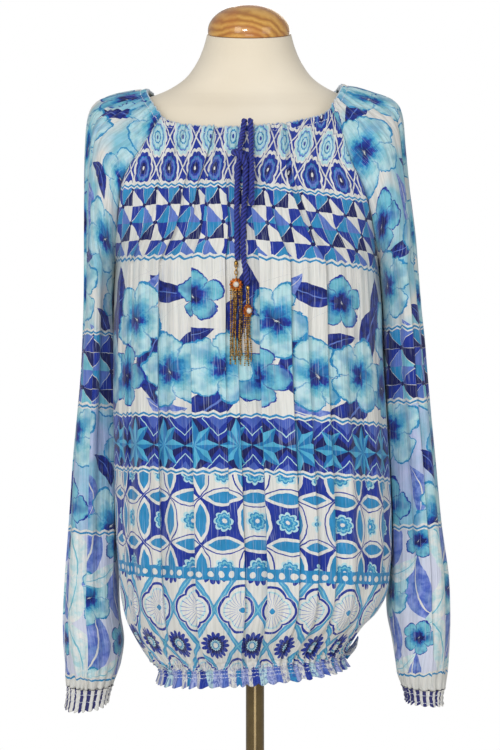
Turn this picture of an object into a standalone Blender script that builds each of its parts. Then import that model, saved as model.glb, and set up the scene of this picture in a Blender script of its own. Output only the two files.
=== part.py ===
"""Long-sleeve raglan blouse, gathered at neck, hem and cuffs, worn on a limbless dress form.

Metres, +Z up, origin on the floor under the pole. The front faces -Y. "right" and "left" are
the wearer's: right is -X. Tables are in millimetres; one row is one section of the garment.
"""
import math

import bmesh
import bpy
import numpy as np
from mathutils import Vector
from mathutils.bvhtree import BVHTree

MM = 0.001

# ---- driving dimensions (mm) ----
WALL = 1.4            # cloth wall of every panel
SEAM = 0.46           # each panel stops this far short of its seam line
FORM_SHIFT = -5.0     # the torso leans this far to the wearer's right of its pole
NECK_PITCH = 2.1      # half height of a gather at the neckline
HEM_PITCH = 2.6       # half height of a gather at the elastic of the hem
FRILL_PITCH = 3.4     # half height of a wave of the hem frill
CUFF_PITCH = 2.0      # half height of a gather at the cuff
BODY_COLS = 48        # two columns a gather: 24 gathers across the front and 24 across the back
SLEEVE_COLS = 24      # 12 gathers round each sleeve and cuff
POLE_R = 11.0
POLE_TOP = 776.0
BASE_R = 150.0
BASE_T = 9.0
SOCKET_R = 19.0
SOCKET_TOP = 34.0
CORD_R = 2.8
NECK_Z = 1345.0       # front middle of the neckline
CAP_TILT = 14.0       # degrees the neck plate leans forward

# ---- sleeve sections, neckline to cuff ----
# seam: front raglan seam (below the underarm: the inner line); crest: outer line;
# mid_y, depth: centre and half depth; rise: how much higher the back is than the front;
# gap: half of the opening towards the body, in degrees (0 = closed tube)
SLEEVE_COLUMNS = ("seam_x", "seam_z", "crest_x", "crest_z", "mid_y", "depth", "rise", "gap")
SLEEVE = {
    "right": [
        (-104.0, 1359, -123.0, 1395, -11, 64, 21, 80),
        (-115.0, 1341, -142.0, 1394, -7, 75, 32, 79),
        (-128.0, 1319, -165.0, 1391, -3, 86, 35, 77),
        (-141.0, 1298, -184.0, 1383, 0, 93, 32, 72),
        (-150.0, 1279, -193.0, 1364, 0, 95, 25, 65),
        (-154.0, 1251, -196.5, 1324, 0, 94, 19, 54),
        (-157.5, 1222, -197.5, 1272, 0, 91, 14, 38),
        (-160.0, 1199, -198.0, 1224, 0, 86, 9, 19),
        (-161.0, 1184, -198.5, 1184, 0, 81, 5, 0),
        (-163.0, 1146, -200.4, 1146, 14, 77, 0, 0),
        (-163.0, 1100, -203.1, 1100, 26, 73, 0, 0),
        (-162.8, 1050, -206.8, 1050, 34, 70, 0, 0),
        (-162.7, 999, -211.8, 999, 37, 67, 0, 0),
        (-161.8, 942, -216.4, 942, 38, 63, 0, 0),
        (-160.2, 874, -220.6, 874, 38, 62, 0, 0),
        (-159.4, 816, -224.6, 816, 37, 62, 0, 0),
        (-158.2, 770, -227.0, 770, 36, 62, 0, 0),
        (-153.8, 736, -227.0, 736, 35, 59, 0, 0),
        (-157.3, 709, -225.3, 709, 33, 51, 3, 0),
        (-162.6, 693, -223.7, 693, 32, 42, 6, 0),
        (-167.4, 683, -222.6, 683, 31, 34, 8, 0),
    ],
    "left": [
        (92.6, 1368, 107.0, 1401, -11, 64, 17, 80),
        (100.0, 1352, 126.0, 1399, -7, 75, 27, 79),
        (108.0, 1333, 149.0, 1393, -3, 86, 31, 77),
        (116.0, 1306, 171.0, 1386, 0, 93, 31, 72),
        (129.0, 1279, 180.5, 1369, 0, 95, 25, 65),
        (138.0, 1252, 184.5, 1328, 0, 94, 19, 54),
        (145.0, 1222, 189.0, 1278, 0, 91, 14, 38),
        (151.0, 1199, 195.5, 1226, 0, 86, 9, 19),
        (153.0, 1184, 199.0, 1184, 0, 81, 5, 0),
        (156.3, 1146, 203.6, 1146, 14, 77, 0, 0),
        (157.2, 1100, 210.2, 1100, 26, 73, 0, 0),
        (158.4, 1050, 215.5, 1050, 34, 70, 0, 0),
        (160.8, 999, 221.0, 999, 37, 67, 0, 0),
        (163.8, 942, 226.8, 942, 38, 63, 0, 0),
        (165.8, 874, 233.6, 874, 38, 62, 0, 0),
        (165.3, 816, 241.8, 816, 37, 62, 0, 0),
        (164.7, 770, 243.4, 770, 36, 62, 0, 0),
        (171.0, 736, 241.7, 736, 35, 59, 0, 0),
        (175.4, 709, 239.1, 709, 33, 51, 2, 0),
        (178.2, 693, 237.0, 691, 32, 42, 3, 0),
        (183.5, 681, 234.9, 678, 31, 34, 3, 0),
    ],
}
# ---- cuff sections, top to bottom (same meaning, closed rings) ----
CUFF = {
    "right": [
        (-168.3, 681.5, -222.2, 681.3, 31, 33.5, 8, 0),
        (-170.8, 672, -223.1, 669, 31, 31.5, 10, 0),
        (-173.8, 662, -224.7, 655, 31, 32.5, 12, 0),
    ],
    "left": [
        (184.4, 679.8, 234.4, 676.8, 31, 33.5, 3, 0),
        (186.6, 671, 232.8, 668, 31, 31.5, 3, 0),
        (188.6, 663, 232.3, 658, 31, 32.5, 3, 0),
    ],
}
# ---- body sections ----
# front_y, front_z, back_y, back_z: centre lines; arc: how far the section turns at its ends,
# in degrees; drop: how fast the row falls from its ends (1 = evenly, less = a square neckline)
YOKE_COLUMNS = ("front_y", "front_z", "back_y", "back_z", "arc", "drop")
YOKE = [
    (-89, 1345, 66, 1404, 50, 0.60),
    (-97, 1325, 77, 1387, 52, 0.70),
    (-106, 1304, 87, 1364, 56, 0.85),
    (-115, 1281, 95, 1338, 62, 1.00),
    (-122, 1258, 100, 1308, 69, 1.00),
    (-127, 1238, 102, 1276, 76, 1.00),
    (-130, 1218, 104, 1244, 82, 1.00),
    (-131, 1202, 105, 1218, 87, 1.00),
    (-132, 1188, 106, 1196, 90, 1.00),
]
# side lines (x, z on each side) and centre lines, underarm to the edge of the hem frill
BODY_COLUMNS = ("right_x", "right_z", "left_x", "left_z", "front_y", "front_z", "back_y", "back_z")
BODY = [
    (-161.0, 1184, 153.0, 1184, -132, 1188, 106, 1196),
    (-163.0, 1140, 156.5, 1140, -132, 1142, 105, 1146),
    (-164.0, 1080, 158.0, 1080, -133, 1081, 105, 1083),
    (-164.0, 1010, 162.0, 1010, -135, 1010, 108, 1010),
    (-163.0, 940, 166.0, 940, -138, 940, 116, 940),
    (-161.0, 870, 168.0, 870, -141, 870, 125, 870),
    (-157.5, 820, 166.0, 824, -142, 820, 130, 820),
    (-154.5, 788, 162.0, 796, -139, 785, 129, 787),
    (-148.5, 765, 151.0, 775, -131, 762, 121, 765),
    (-137.0, 743, 134.0, 758, -118, 744, 110, 748),
    (-119.0, 716, 116.0, 733, -105, 728, 100, 731),
    (-112.0, 710, 112.5, 727, -102, 721, 97, 724),
    (-108.5, 703, 110.5, 720, -101, 714, 96, 717),
    (-110.0, 691, 116.0, 709, -106, 699, 102, 702),
]
UNDERARM = len(YOKE) - 1
HEM_TOP, HEM_MID, HEM_LOW, HEM_EDGE = (UNDERARM + k for k in (10, 11, 12, 13))
SLEEVE_END = len(SLEEVE["right"]) - 1

# stations at which the solids have a row of points
YOKE_STATIONS = (0, 0.5, 1.2, 2.2, 3.5, 5.0, 6.5, UNDERARM)
BODY_STATIONS = (9.4, 10.9, 12.3, 13.6, 14.7, 15.7, 16.6, 17.4, HEM_TOP, HEM_LOW, HEM_EDGE)
SLEEVE_STATIONS = (9.3, 10.8, 12.4, 13.8, 15.0, 16.0, 17.0, 18.0, 19.0, SLEEVE_END)

# ---- folds: across (0 = wearer's right seam, 1 = left), half width, depth (+ ridge, - trough),
# first and last station, drift across over the length ----
FOLD_COLUMNS = ("at", "half", "depth", "start", "end", "drift")
FOLDS = {
    "front_panel": [
        (0.075, 0.030, -6.0, 8.5, 19.0, 0.050),
        (0.158, 0.024, -5.0, 5.5, 17.5, -0.004),
        (0.208, 0.030, 4.5, 7.0, 18.0, 0.010),
        (0.262, 0.024, -5.5, 4.0, 18.6, 0.006),
        (0.314, 0.028, 4.5, 6.0, 17.5, 0.002),
        (0.365, 0.024, -5.5, 2.0, 18.6, 0.000),
        (0.418, 0.027, 4.0, 5.0, 18.0, 0.000),
        (0.470, 0.023, -6.5, 1.5, 18.8, 0.000),
        (0.535, 0.023, -5.5, 3.0, 18.6, 0.000),
        (0.600, 0.023, -6.5, 3.5, 18.6, 0.000),
        (0.643, 0.026, 4.5, 6.0, 18.0, -0.004),
        (0.688, 0.024, -6.0, 3.0, 18.8, -0.004),
        (0.745, 0.032, 4.5, 8.0, 18.2, -0.012),
        (0.810, 0.026, -5.0, 6.0, 18.0, -0.014),
        (0.860, 0.028, 4.0, 9.0, 18.2, -0.030),
        (0.925, 0.030, -5.5, 9.5, 18.8, -0.050),
    ],
    "back_panel": [
        (0.090, 0.036, -5.5, 9.0, 18.8, 0.045),
        (0.185, 0.040, 5.0, 8.0, 18.2, 0.020),
        (0.290, 0.030, -6.0, 5.0, 18.6, 0.015),
        (0.400, 0.040, 4.5, 7.0, 17.8, 0.000),
        (0.500, 0.028, -6.5, 4.0, 18.4, 0.005),
        (0.600, 0.040, 5.0, 6.0, 18.0, -0.010),
        (0.710, 0.030, -5.5, 6.0, 18.6, -0.015),
        (0.810, 0.040, 4.5, 9.0, 18.0, -0.025),
        (0.915, 0.034, -5.5, 9.0, 18.8, -0.045),
    ],
    "sleeve_right": [
        (0.180, 0.040, -5.0, 5.0, 18.5, 0.030),
        (0.330, 0.045, 3.5, 9.0, 18.8, 0.000),
        (0.420, 0.035, -4.0, 12.0, 19.6, -0.020),
        (0.640, 0.040, -5.0, 6.0, 18.0, 0.010),
        (0.800, 0.045, -4.0, 10.0, 19.3, 0.000),
    ],
    "sleeve_left": [
        (0.200, 0.040, -5.0, 6.0, 18.2, 0.010),
        (0.310, 0.040, 3.5, 8.0, 19.0, 0.010),
        (0.400, 0.035, -4.0, 11.0, 19.4, 0.000),
        (0.620, 0.040, -5.0, 5.0, 18.6, 0.010),
        (0.820, 0.045, -4.0, 9.0, 19.2, -0.010),
    ],
}
NECK_REACH = (30, 75, 45, 110, 38, 60, 90)   # how far down each gather of the neck runs, in turn
HEM_REACH = (45, 20, 70, 30, 95, 38, 55)     # how far up each gather of the hem runs, in turn
CUFF_REACH = (30, 70, 22, 50, 90, 40)        # the same above the cuff

# the frill is turned up beside the wearer's left side seam: place across the back, half width,
# and (out, up) of the row under the elastic and of the edge
FLIP_AT, FLIP_HALF = 0.955, 0.035
FLIP_OUT = ((5.0, 3.0), (15.0, 24.0))

# ---- dress form sections, bottom to top ----
FORM_COLUMNS = ("z", "half_x", "front", "back")
FORM = [
    (780, 118, 80, 92), (786, 130, 90, 102), (800, 139, 98, 110), (840, 145, 104, 116),
    (900, 143, 104, 110), (965, 128, 98, 94), (1030, 114, 91, 82), (1095, 121, 97, 82),
    (1155, 137, 109, 87), (1208, 144, 115, 90), (1255, 142, 110, 92), (1300, 146, 98, 90),
    (1330, 157, 88, 86), (1352, 166, 78, 79), (1368, 166, 69, 71), (1377, 155, 62, 65),
    (1384, 134, 57, 61), (1390, 114, 54, 58), (1399, 94, 52, 56), (1412, 76, 51.5, 54),
    (1430, 63, 51, 52), (1448, 55, 50.5, 51), (1464, 50.5, 50, 50),
]
FORM_COLS = 26
NECK_CENTRE = (-2.0, -2.0)

# neck cap: radius and height above the neck plate, top to rim
CAP_PROFILE = [
    (0.0, 36.0), (12.0, 35.4), (24.0, 32.8), (34.0, 28.3), (42.0, 21.5), (47.5, 13.0),
    (49.6, 6.0), (49.2, 1.5), (47.0, 0.0), (0.0, 0.0),
]

# ---- drawstrings: route points (x, z) on the front and how far out they lie ----
CORD_COLUMNS = ("x", "z", "lift")
CORDS = {
    "drawstring_right": [
        (-7.4, 1349.8, -1.4), (-7.9, 1348.8, 3.6), (-9.8, 1341, 4.2), (-11.0, 1331, 5.0),
        (-11.8, 1322, 8.4), (-12.4, 1312, 10.6), (-13.4, 1301, 8.6), (-14.8, 1286, 5.2),
        (-15.9, 1262, 4.4), (-16.0, 1238, 4.3), (-15.8, 1212, 4.4), (-15.2, 1186.5, 4.6),
    ],
    "drawstring_left": [
        (-0.8, 1349.8, -1.4), (-0.3, 1348.8, 3.6), (1.4, 1338, 4.2), (1.4, 1322, 5.4),
        (1.3, 1302, 9.2), (1.4, 1280, 10.8), (1.2, 1263, 10.8), (0.9, 1254.6, 9.8),
        (0.6, 1251.8, 7.2), (0.4, 1254.6, 4.6), (0.1, 1263, 3.8), (-0.8, 1280, 3.5),
        (-2.4, 1296, 3.4), (-5.6, 1308, 3.3), (-12.2, 1313.4, 3.4), (-18.2, 1312.6, 5.8),
        (-19.6, 1311.2, 10.2), (-17.9, 1310.0, 15.0), (-12.6, 1307.6, 17.2),
        (-8.0, 1301.5, 15.6), (-6.2, 1293, 11.8), (-6.0, 1279, 8.2), (-6.8, 1261, 5.4),
        (-8.4, 1238, 4.4), (-8.8, 1210, 4.4), (-8.0, 1188, 4.6), (-5.8, 1173, 4.8),
        (-4.4, 1158.0, 5.0),
    ],
}
# ---- tassels: rosette centre, first strand and pitch, strand count, lower end ----
TASSEL_COLUMNS = ("x", "z", "turn", "strands", "pitch", "end_z", "hang_top")
TASSELS = {
    "tassel_right": (-16.8, 1159.0, 0.0, 8, 1.95, 1069.0, 1183.2),
    "tassel_left": (-3.6, 1129.0, 50.0, 6, 1.75, 1067.0, 1154.6),
}
ROSETTE_R = 7.4
ROSETTE_T = 3.2
PEARL_R = 3.6
STRAND_R = 0.95
TASSEL_LIFT = 6.5     # the rosette's middle stands this far in front of the cloth


def smooth_row(table, t):
    """The row of a table at station t, on a smooth curve through its rows."""
    rows = np.asarray(table, dtype=float)
    i = int(min(max(math.floor(t), 0), len(rows) - 2))
    u = t - i
    before, after = rows[max(i - 1, 0)], rows[min(i + 2, len(rows) - 1)]
    a, b = rows[i], rows[i + 1]
    return 0.5 * (2 * a + (b - before) * u + (2 * before - 5 * a + 4 * b - after) * u ** 2
                  + (3 * a - before - 3 * b + after) * u ** 3)


def ring_point(row, angle):
    """Point at an angle round a sleeve section: 0 is towards the body, pi is the crest."""
    seam_x, seam_z, crest_x, crest_z, mid_y, depth, rise, gap = row
    gap = math.radians(max(gap, 0.0))
    half = (seam_x - crest_x) / (1 + math.cos(gap))
    y = mid_y - depth * math.sin(angle)
    lean = rise / (2 * depth)
    fall = (seam_z - crest_z + lean * depth * math.sin(gap)) / ((1 + math.cos(gap)) / 2)
    z = crest_z + fall * (1 + math.cos(angle)) / 2 + lean * (y - mid_y)
    return np.array([crest_x + half * (1 + math.cos(angle)), y, z])


def sleeve_point(side, t, q, clear=0.0):
    """q runs from the front raglan seam over the crest to the back one."""
    row = smooth_row(SLEEVE[side], t)
    if clear:
        row[0] += clear * math.copysign(1.0, row[0])
    gap = math.radians(max(row[7], 0.0)) if t < UNDERARM else 0.0
    return ring_point(row, gap + q * (2 * math.pi - 2 * gap))


def panel_point(panel, t, s):
    """s runs from the wearer's right seam to the left one."""
    front = panel == "front_panel"
    if t < UNDERARM:
        front_y, front_z, back_y, back_z, arc, drop = smooth_row(YOKE, t)
        q = 0.0 if front else 1.0
        right, left = sleeve_point("right", t, q), sleeve_point("left", t, q)
        fullness = 1.0 - 0.15 * t / UNDERARM
    else:
        row = smooth_row(BODY, t - UNDERARM)
        right, left = np.array([row[0], 0.0, row[1]]), np.array([row[2], 0.0, row[3]])
        front_y, front_z, back_y, back_z = row[4:]
        arc, drop, fullness = 90.0, 1.0, 0.85
    mid_y, mid_z = (front_y, front_z) if front else (back_y, back_z)
    if not front:
        drop = 1.0
    arc = math.radians(min(arc, 90.0))
    turn = (2 * s - 1) * arc
    bulge = max((math.cos(turn) - math.cos(arc)) / (1 - math.cos(arc)), 0.0)
    across = (math.sin(turn) / math.sin(arc) + 1) / 2
    point = right + (left - right) * across
    chord = (right + left) / 2
    point[1] += (mid_y - chord[1]) * bulge ** fullness
    point[2] += (mid_z - chord[2]) * bulge ** drop
    return point


def spaced(curve, count, inset):
    """Points at even distances along a curve, stopping an inset short of both ends."""
    fine = np.array([curve(k / 120) for k in range(121)])
    run = np.concatenate([[0.0], np.cumsum(np.linalg.norm(np.diff(fine, axis=0), axis=1))])
    at = np.linspace(inset, run[-1] - inset, count + 1)
    return np.array([[np.interp(a, run, fine[:, k]) for k in range(3)] for a in at])


def outward(grid, closed, sign):
    """Unit normals of a grid of points; closed rows wrap round."""
    normals = np.zeros_like(grid)
    rows, cols = grid.shape[:2]
    for i in range(rows):
        for j in range(cols):
            left, right = max(j - 1, 0), min(j + 1, cols - 1)
            if closed[i] and j in (0, cols - 1):
                left, right = cols - 2, 1
            along = grid[i, right] - grid[i, left]
            down = grid[min(i + 1, rows - 1), j] - grid[max(i - 1, 0), j]
            n = np.cross(along, down) * sign
            normals[i, j] = n / max(np.linalg.norm(n), 1e-9)
    return normals


def fold_height(name, t, s):
    """Height in mm of the large folds at a place on a piece."""
    total = 0.0
    for at, half, depth, start, end, drift in FOLDS[name]:
        if start < t < end:
            part = (t - start) / (end - start)
            away = (s - at - drift * part) / half
            total += depth * math.exp(-away * away) * math.sin(math.pi * part) ** 1.2
    return total


def zigzag(j, size, seam_free, cols):
    """Ridge or valley of the gather in column j."""
    edge = 1.0 if not seam_free else min(1.0, min(j, cols - j) / 1.0)
    return size * (1 if j % 2 else -1) * edge


def seam_inset(t):
    """How far a panel stops short of its seam: more near the underarm, where walls turn in."""
    return SEAM * (1 + 1.9 * math.exp(-((t - 6.3) / 1.8) ** 2))


def body_grid(panel):
    stations = YOKE_STATIONS + BODY_STATIONS
    base = []
    for t in stations:
        base.append(spaced(lambda s: panel_point(panel, t, s), BODY_COLS, seam_inset(t)))
    grid = np.array(base)
    normals = outward(grid, [False] * len(stations), -1 if panel == "front_panel" else 1)
    hem_z = grid[stations.index(HEM_TOP), :, 2]
    for i, t in enumerate(stations):
        for j in range(BODY_COLS + 1):
            s = j / BODY_COLS
            below_neck = np.linalg.norm(grid[i, j] - grid[0, j])
            size = NECK_PITCH * math.exp(-below_neck / NECK_REACH[(j // 2) % 7])
            if t > UNDERARM:
                above_hem = max(grid[i, j, 2] - hem_z[j], 0.0)
                pitch = FRILL_PITCH if t == HEM_EDGE else HEM_PITCH
                size += pitch * math.exp(-above_hem / HEM_REACH[(j // 2) % 7])
            lift = zigzag(j, size, True, BODY_COLS)
            seam_fade = min(1.0, 12 * min(s, 1 - s))
            lift += fold_height(panel, t, s) * seam_fade
            if panel == "back_panel" and t > HEM_TOP:
                turned_up = math.exp(-((s - FLIP_AT) / FLIP_HALF) ** 2)
                out, up = FLIP_OUT[t == HEM_EDGE]
                lift += out * turned_up
                grid[i, j, 2] += up * turned_up
            grid[i, j] += normals[i, j] * lift
    return grid


def sleeve_grid(side):
    stations = YOKE_STATIONS + SLEEVE_STATIONS
    base = []
    for t in stations:
        clear = 0.9 * min(max(t - UNDERARM + 1, 0.0), 1.0)
        inset = seam_inset(t) if t < UNDERARM else 0.0
        base.append(spaced(lambda q: sleeve_point(side, t, q, clear), SLEEVE_COLS, inset))
    grid = np.array(base)
    closed = [t >= UNDERARM for t in stations]
    normals = outward(grid, closed, 1 if side == "right" else -1)
    end_z = grid[-1, :, 2]
    for i, t in enumerate(stations):
        for j in range(SLEEVE_COLS + 1):
            q = j / SLEEVE_COLS
            below_neck = np.linalg.norm(grid[i, j] - grid[0, j])
            size = NECK_PITCH * math.exp(-below_neck / NECK_REACH[(j // 2 + 3) % 7])
            lift = zigzag(j, size, True, SLEEVE_COLS)
            if t > UNDERARM:
                above_cuff = max(grid[i, j, 2] - end_z[j], 0.0)
                lift += zigzag(j, CUFF_PITCH * math.exp(-above_cuff / CUFF_REACH[(j // 2) % 6]),
                               False, SLEEVE_COLS)
            lift += fold_height("sleeve_" + side, t, q)
            grid[i, j] += normals[i, j] * lift
    return grid, closed


def cuff_grid(side):
    rows = CUFF[side]
    base = [spaced(lambda q: ring_point(row, 2 * math.pi * q), SLEEVE_COLS, 0.0) for row in rows]
    grid = np.array(base)
    normals = outward(grid, [True] * len(rows), 1 if side == "right" else -1)
    for i in range(len(rows)):
        for j in range(SLEEVE_COLS + 1):
            grid[i, j] += normals[i, j] * zigzag(j, CUFF_PITCH * (1, 0.6, 0.9)[i], False,
                                                 SLEEVE_COLS)
    return grid


# ---- scene helpers ----
for old in list(bpy.data.objects):
    bpy.data.objects.remove(old)
blouse = bpy.data.collections.new("long_sleeve_blouse")
cutters = bpy.data.collections.new("cutters")
bpy.context.scene.collection.children.link(blouse)
bpy.context.scene.collection.children.link(cutters)


def colour(code):
    return [((int(code[k:k + 2], 16) / 255) ** 2.2) for k in (0, 2, 4)] + [1.0]


def material(name, code, rough, metal=0.0):
    mat = bpy.data.materials.new(name)
    mat.use_nodes = True
    shader = mat.node_tree.nodes["Principled BSDF"]
    shader.inputs["Base Color"].default_value = colour(code)
    shader.inputs["Roughness"].default_value = rough
    shader.inputs["Metallic"].default_value = metal
    return mat


def place(name, mesh, mat):
    obj = bpy.data.objects.new(name, mesh)
    blouse.objects.link(obj)
    mesh.materials.append(mat)
    for face in mesh.polygons:
        face.use_smooth = True
    return obj


def grid_mesh(name, grid, flip):
    """Open sheet of quads through a grid of points; points that coincide are joined."""
    bm = bmesh.new()
    rows, cols = grid.shape[:2]
    verts = [[bm.verts.new(((grid[i, j, 0] + FORM_SHIFT) * MM, grid[i, j, 1] * MM,
                            grid[i, j, 2] * MM)) for j in range(cols)] for i in range(rows)]
    for i in range(rows - 1):
        for j in range(cols - 1):
            loop = [verts[i][j], verts[i + 1][j], verts[i + 1][j + 1], verts[i][j + 1]]
            bm.faces.new(loop[::-1] if flip else loop)
    bmesh.ops.remove_doubles(bm, verts=bm.verts, dist=0.00002)
    mesh = bpy.data.meshes.new(name)
    bm.to_mesh(mesh)
    bm.free()
    return mesh


def thicken(obj):
    wall = obj.modifiers.new("wall", "SOLIDIFY")
    wall.thickness = WALL * MM
    wall.offset = -1.0
    wall.use_even_offset = False
    return obj


def loft(name, rings, mat):
    """Closed solid through rings of equal count, with a flat fan at each end."""
    bm = bmesh.new()
    loops = [[bm.verts.new([c * MM for c in p]) for p in ring] for ring in rings]
    count = len(loops[0])
    for low, high in zip(loops, loops[1:]):
        for j in range(count):
            k = (j + 1) % count
            bm.faces.new((low[j], low[k], high[k], high[j]))
    bm.faces.new(loops[0][::-1])
    bm.faces.new(loops[-1])
    mesh = bpy.data.meshes.new(name)
    bm.to_mesh(mesh)
    bm.free()
    return place(name, mesh, mat)


def turned(name, profile, steps, mat):
    """Solid of revolution about Z from a profile of (radius, height), outer side downwards."""
    mesh = bpy.data.meshes.new(name)
    points = [(r * MM, 0.0, z * MM) for r, z in profile]
    mesh.from_pydata(points, [(k, k + 1) for k in range(len(points) - 1)], [])
    obj = bpy.data.objects.new(name, mesh)
    blouse.objects.link(obj)
    mesh.materials.append(mat)
    screw = obj.modifiers.new("turn", "SCREW")
    screw.axis = "Z"
    screw.steps = screw.render_steps = steps
    screw.use_merge_vertices = True
    screw.merge_threshold = 0.00005
    screw.use_smooth_shade = True
    return obj


def tube(name, points, radius, mat):
    """Round cord through points, with closed ends."""
    curve = bpy.data.curves.new(name, "CURVE")
    curve.dimensions = "3D"
    curve.bevel_depth = radius * MM
    curve.bevel_resolution = 2
    curve.use_fill_caps = True
    line = curve.splines.new("POLY")
    line.points.add(len(points) - 1)
    for node, p in zip(line.points, points):
        node.co = (p[0] * MM, p[1] * MM, p[2] * MM, 1.0)
    obj = bpy.data.objects.new(name, curve)
    blouse.objects.link(obj)
    curve.materials.append(mat)
    return obj


# ---- materials ----
print_cloth = material("printed_viscose_front", "5F7FC4", 0.75)
back_cloth = material("printed_viscose_back", "5F7FC4", 0.75)
sleeve_cloth = {side: material("printed_viscose_sleeve_" + side, "7FB4D2", 0.75) for side in SLEEVE}
cuff_cloth = {side: material("striped_viscose_cuff_" + side, "3A3F86", 0.75) for side in CUFF}
cord_fibre = {name: material("twisted_cord_" + name, "2B2A8C", 0.6) for name in CORDS}
bead_metal = {name: material("antique_chain_" + name, "9A6A2C", 0.35, 1.0) for name in TASSELS}
jersey = material("ivory_jersey", "EDE3CF", 0.9)
beech = material("lacquered_wood", "C98F48", 0.3)
bronze = material("bronze_lacquered_steel_pole", "4F432F", 0.35, 0.6)
bronze_base = material("bronze_lacquered_steel_base", "4F432F", 0.35, 0.6)

# ---- blouse ----
front_grid = body_grid("front_panel")
thicken(place("front_panel", grid_mesh("front_panel", front_grid, False), print_cloth))
thicken(place("back_panel", grid_mesh("back_panel", body_grid("back_panel"), True), back_cloth))
for side in ("right", "left"):
    name = "sleeve_" + side
    cells, _ = sleeve_grid(side)
    thicken(place(name, grid_mesh(name, cells, side == "right"), sleeve_cloth[side]))
    name = "cuff_" + side
    thicken(place(name, grid_mesh(name, cuff_grid(side), side == "right"), cuff_cloth[side]))


# ---- drawstrings, laid on the front panel's own points ----
FRONT_TREE = BVHTree.FromPolygons(
    [v.co for v in bpy.data.meshes["front_panel"].vertices],
    [tuple(face.vertices) for face in bpy.data.meshes["front_panel"].polygons])


def front_face(x, z, reach=5.0):
    """y of the front panel's most forward point close to a place (world mm)."""
    found = []
    for dx in (-4.0, 0.0, 4.0):
        for dz in (-reach, 0.0, reach):
            start = Vector((x + dx, -400.0, z + dz)) * MM
            hit = FRONT_TREE.ray_cast(start, Vector((0.0, 1.0, 0.0)))[0]
            if hit is not None:
                found.append(hit.y / MM)
    return min(found)


def cord_points(name, count):
    """Evenly spaced points on a smooth curve through a cord's route points."""
    route = []
    for x, z, lift in CORDS[name]:
        y = front_face(x + FORM_SHIFT, min(z, NECK_Z - 4.0)) - lift
        route.append((x + FORM_SHIFT, y, z))
    fine = np.array([smooth_row(route, u) for u in np.linspace(0, len(route) - 1, 400)])
    run = np.concatenate([[0.0], np.cumsum(np.linalg.norm(np.diff(fine, axis=0), axis=1))])
    at = np.linspace(0, run[-1], count)
    return np.array([[np.interp(a, run, fine[:, k]) for k in range(3)] for a in at])


for name, count in (("drawstring_right", 34), ("drawstring_left", 74)):
    tube(name, cord_points(name, count), CORD_R, cord_fibre[name])


# ---- tassels: rosette with a pearl, a short hanger and the strands, in one solid ----
def add_prism(bm, start, end, radius, sides):
    start, end = Vector(start) * MM, Vector(end) * MM
    turn = (end - start).to_track_quat("Z", "Y")
    made = bmesh.ops.create_cone(bm, cap_ends=True, segments=sides, radius1=radius * MM,
                                 radius2=radius * MM, depth=(end - start).length)
    for v in made["verts"]:
        v.co = turn @ v.co + (start + end) / 2


def tassel(name):
    x, z, turn, strands, pitch, end_z, hang_top = TASSELS[name]
    x += FORM_SHIFT
    y = min(front_face(x, low, 8.0) for low in np.arange(end_z, z + 8.0, 8.0)) - TASSEL_LIFT
    angle = math.radians(turn)
    face = Vector((math.sin(angle), -math.cos(angle), 0))
    side = Vector((math.cos(angle), math.sin(angle), 0))
    centre = Vector((x, y, z))

    bm = bmesh.new()
    add_prism(bm, centre - face * ROSETTE_T / 2, centre + face * ROSETTE_T / 2, ROSETTE_R, 16)
    mesh = bpy.data.meshes.new(name)
    bm.to_mesh(mesh)
    bm.free()
    head = place(name, mesh, bead_metal[name])

    def join(label, build):
        part_mesh = bpy.data.meshes.new(label)
        part_bm = bmesh.new()
        build(part_bm)
        part_bm.to_mesh(part_mesh)
        part_bm.free()
        part = bpy.data.objects.new(label, part_mesh)
        cutters.objects.link(part)
        part.hide_render = True
        union = head.modifiers.new(label, "BOOLEAN")
        union.operation = "UNION"
        union.solver = "EXACT"
        union.object = part

    def pearl(bm):
        made = bmesh.ops.create_uvsphere(bm, u_segments=10, v_segments=6, radius=PEARL_R * MM)
        for v in made["verts"]:
            v.co = v.co + (centre + face * (ROSETTE_T / 2 + 0.4)) * MM

    def hanger(bm):
        add_prism(bm, centre + Vector((0, 0, ROSETTE_R - 1.5)), (x, y, hang_top), 1.1, 6)

    join(name + "_pearl", pearl)
    join(name + "_hanger", hanger)
    for k in range(strands):
        across = (k - (strands - 1) / 2) * pitch
        top = centre + side * across * 0.92 - Vector((0, 0, ROSETTE_R * 0.55))
        low = centre + side * across * 1.03 + face * 0.6 * ((k % 3) - 1)
        low.z = end_z + 5.0 * ((k * 5) % 3)
        join(name + "_strand_%d" % k,
             lambda bm, a=top, b=low: add_prism(bm, a, b, STRAND_R, 3))


for name in TASSELS:
    tassel(name)

# ---- dress form, cap, pole and base ----
rings = []
for z, half_x, front, back in FORM:
    neck = min(max((z - 1385) / 60, 0.0), 1.0)
    tilt = math.tan(math.radians(CAP_TILT)) * neck ** 2
    ring = []
    for j in range(FORM_COLS):
        a = 2 * math.pi * j / FORM_COLS
        power = 2 / (2.25 - 0.25 * neck)
        sx = math.copysign(abs(math.cos(a)) ** power, math.cos(a))
        sy = math.copysign(abs(math.sin(a)) ** power, math.sin(a))
        y = sy * (back if sy > 0 else front)
        ring.append((sx * half_x + NECK_CENTRE[0] + FORM_SHIFT, y + NECK_CENTRE[1] * neck,
                     z + y * tilt))
    rings.append(ring)
loft("dress_form", rings, jersey)

cap = turned("neck_cap", CAP_PROFILE, 28, beech)
cap.rotation_euler = (math.radians(CAP_TILT), 0.0, 0.0)
cap.location = ((NECK_CENTRE[0] + FORM_SHIFT) * MM, NECK_CENTRE[1] * MM, (FORM[-1][0] + 0.5) * MM)

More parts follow.
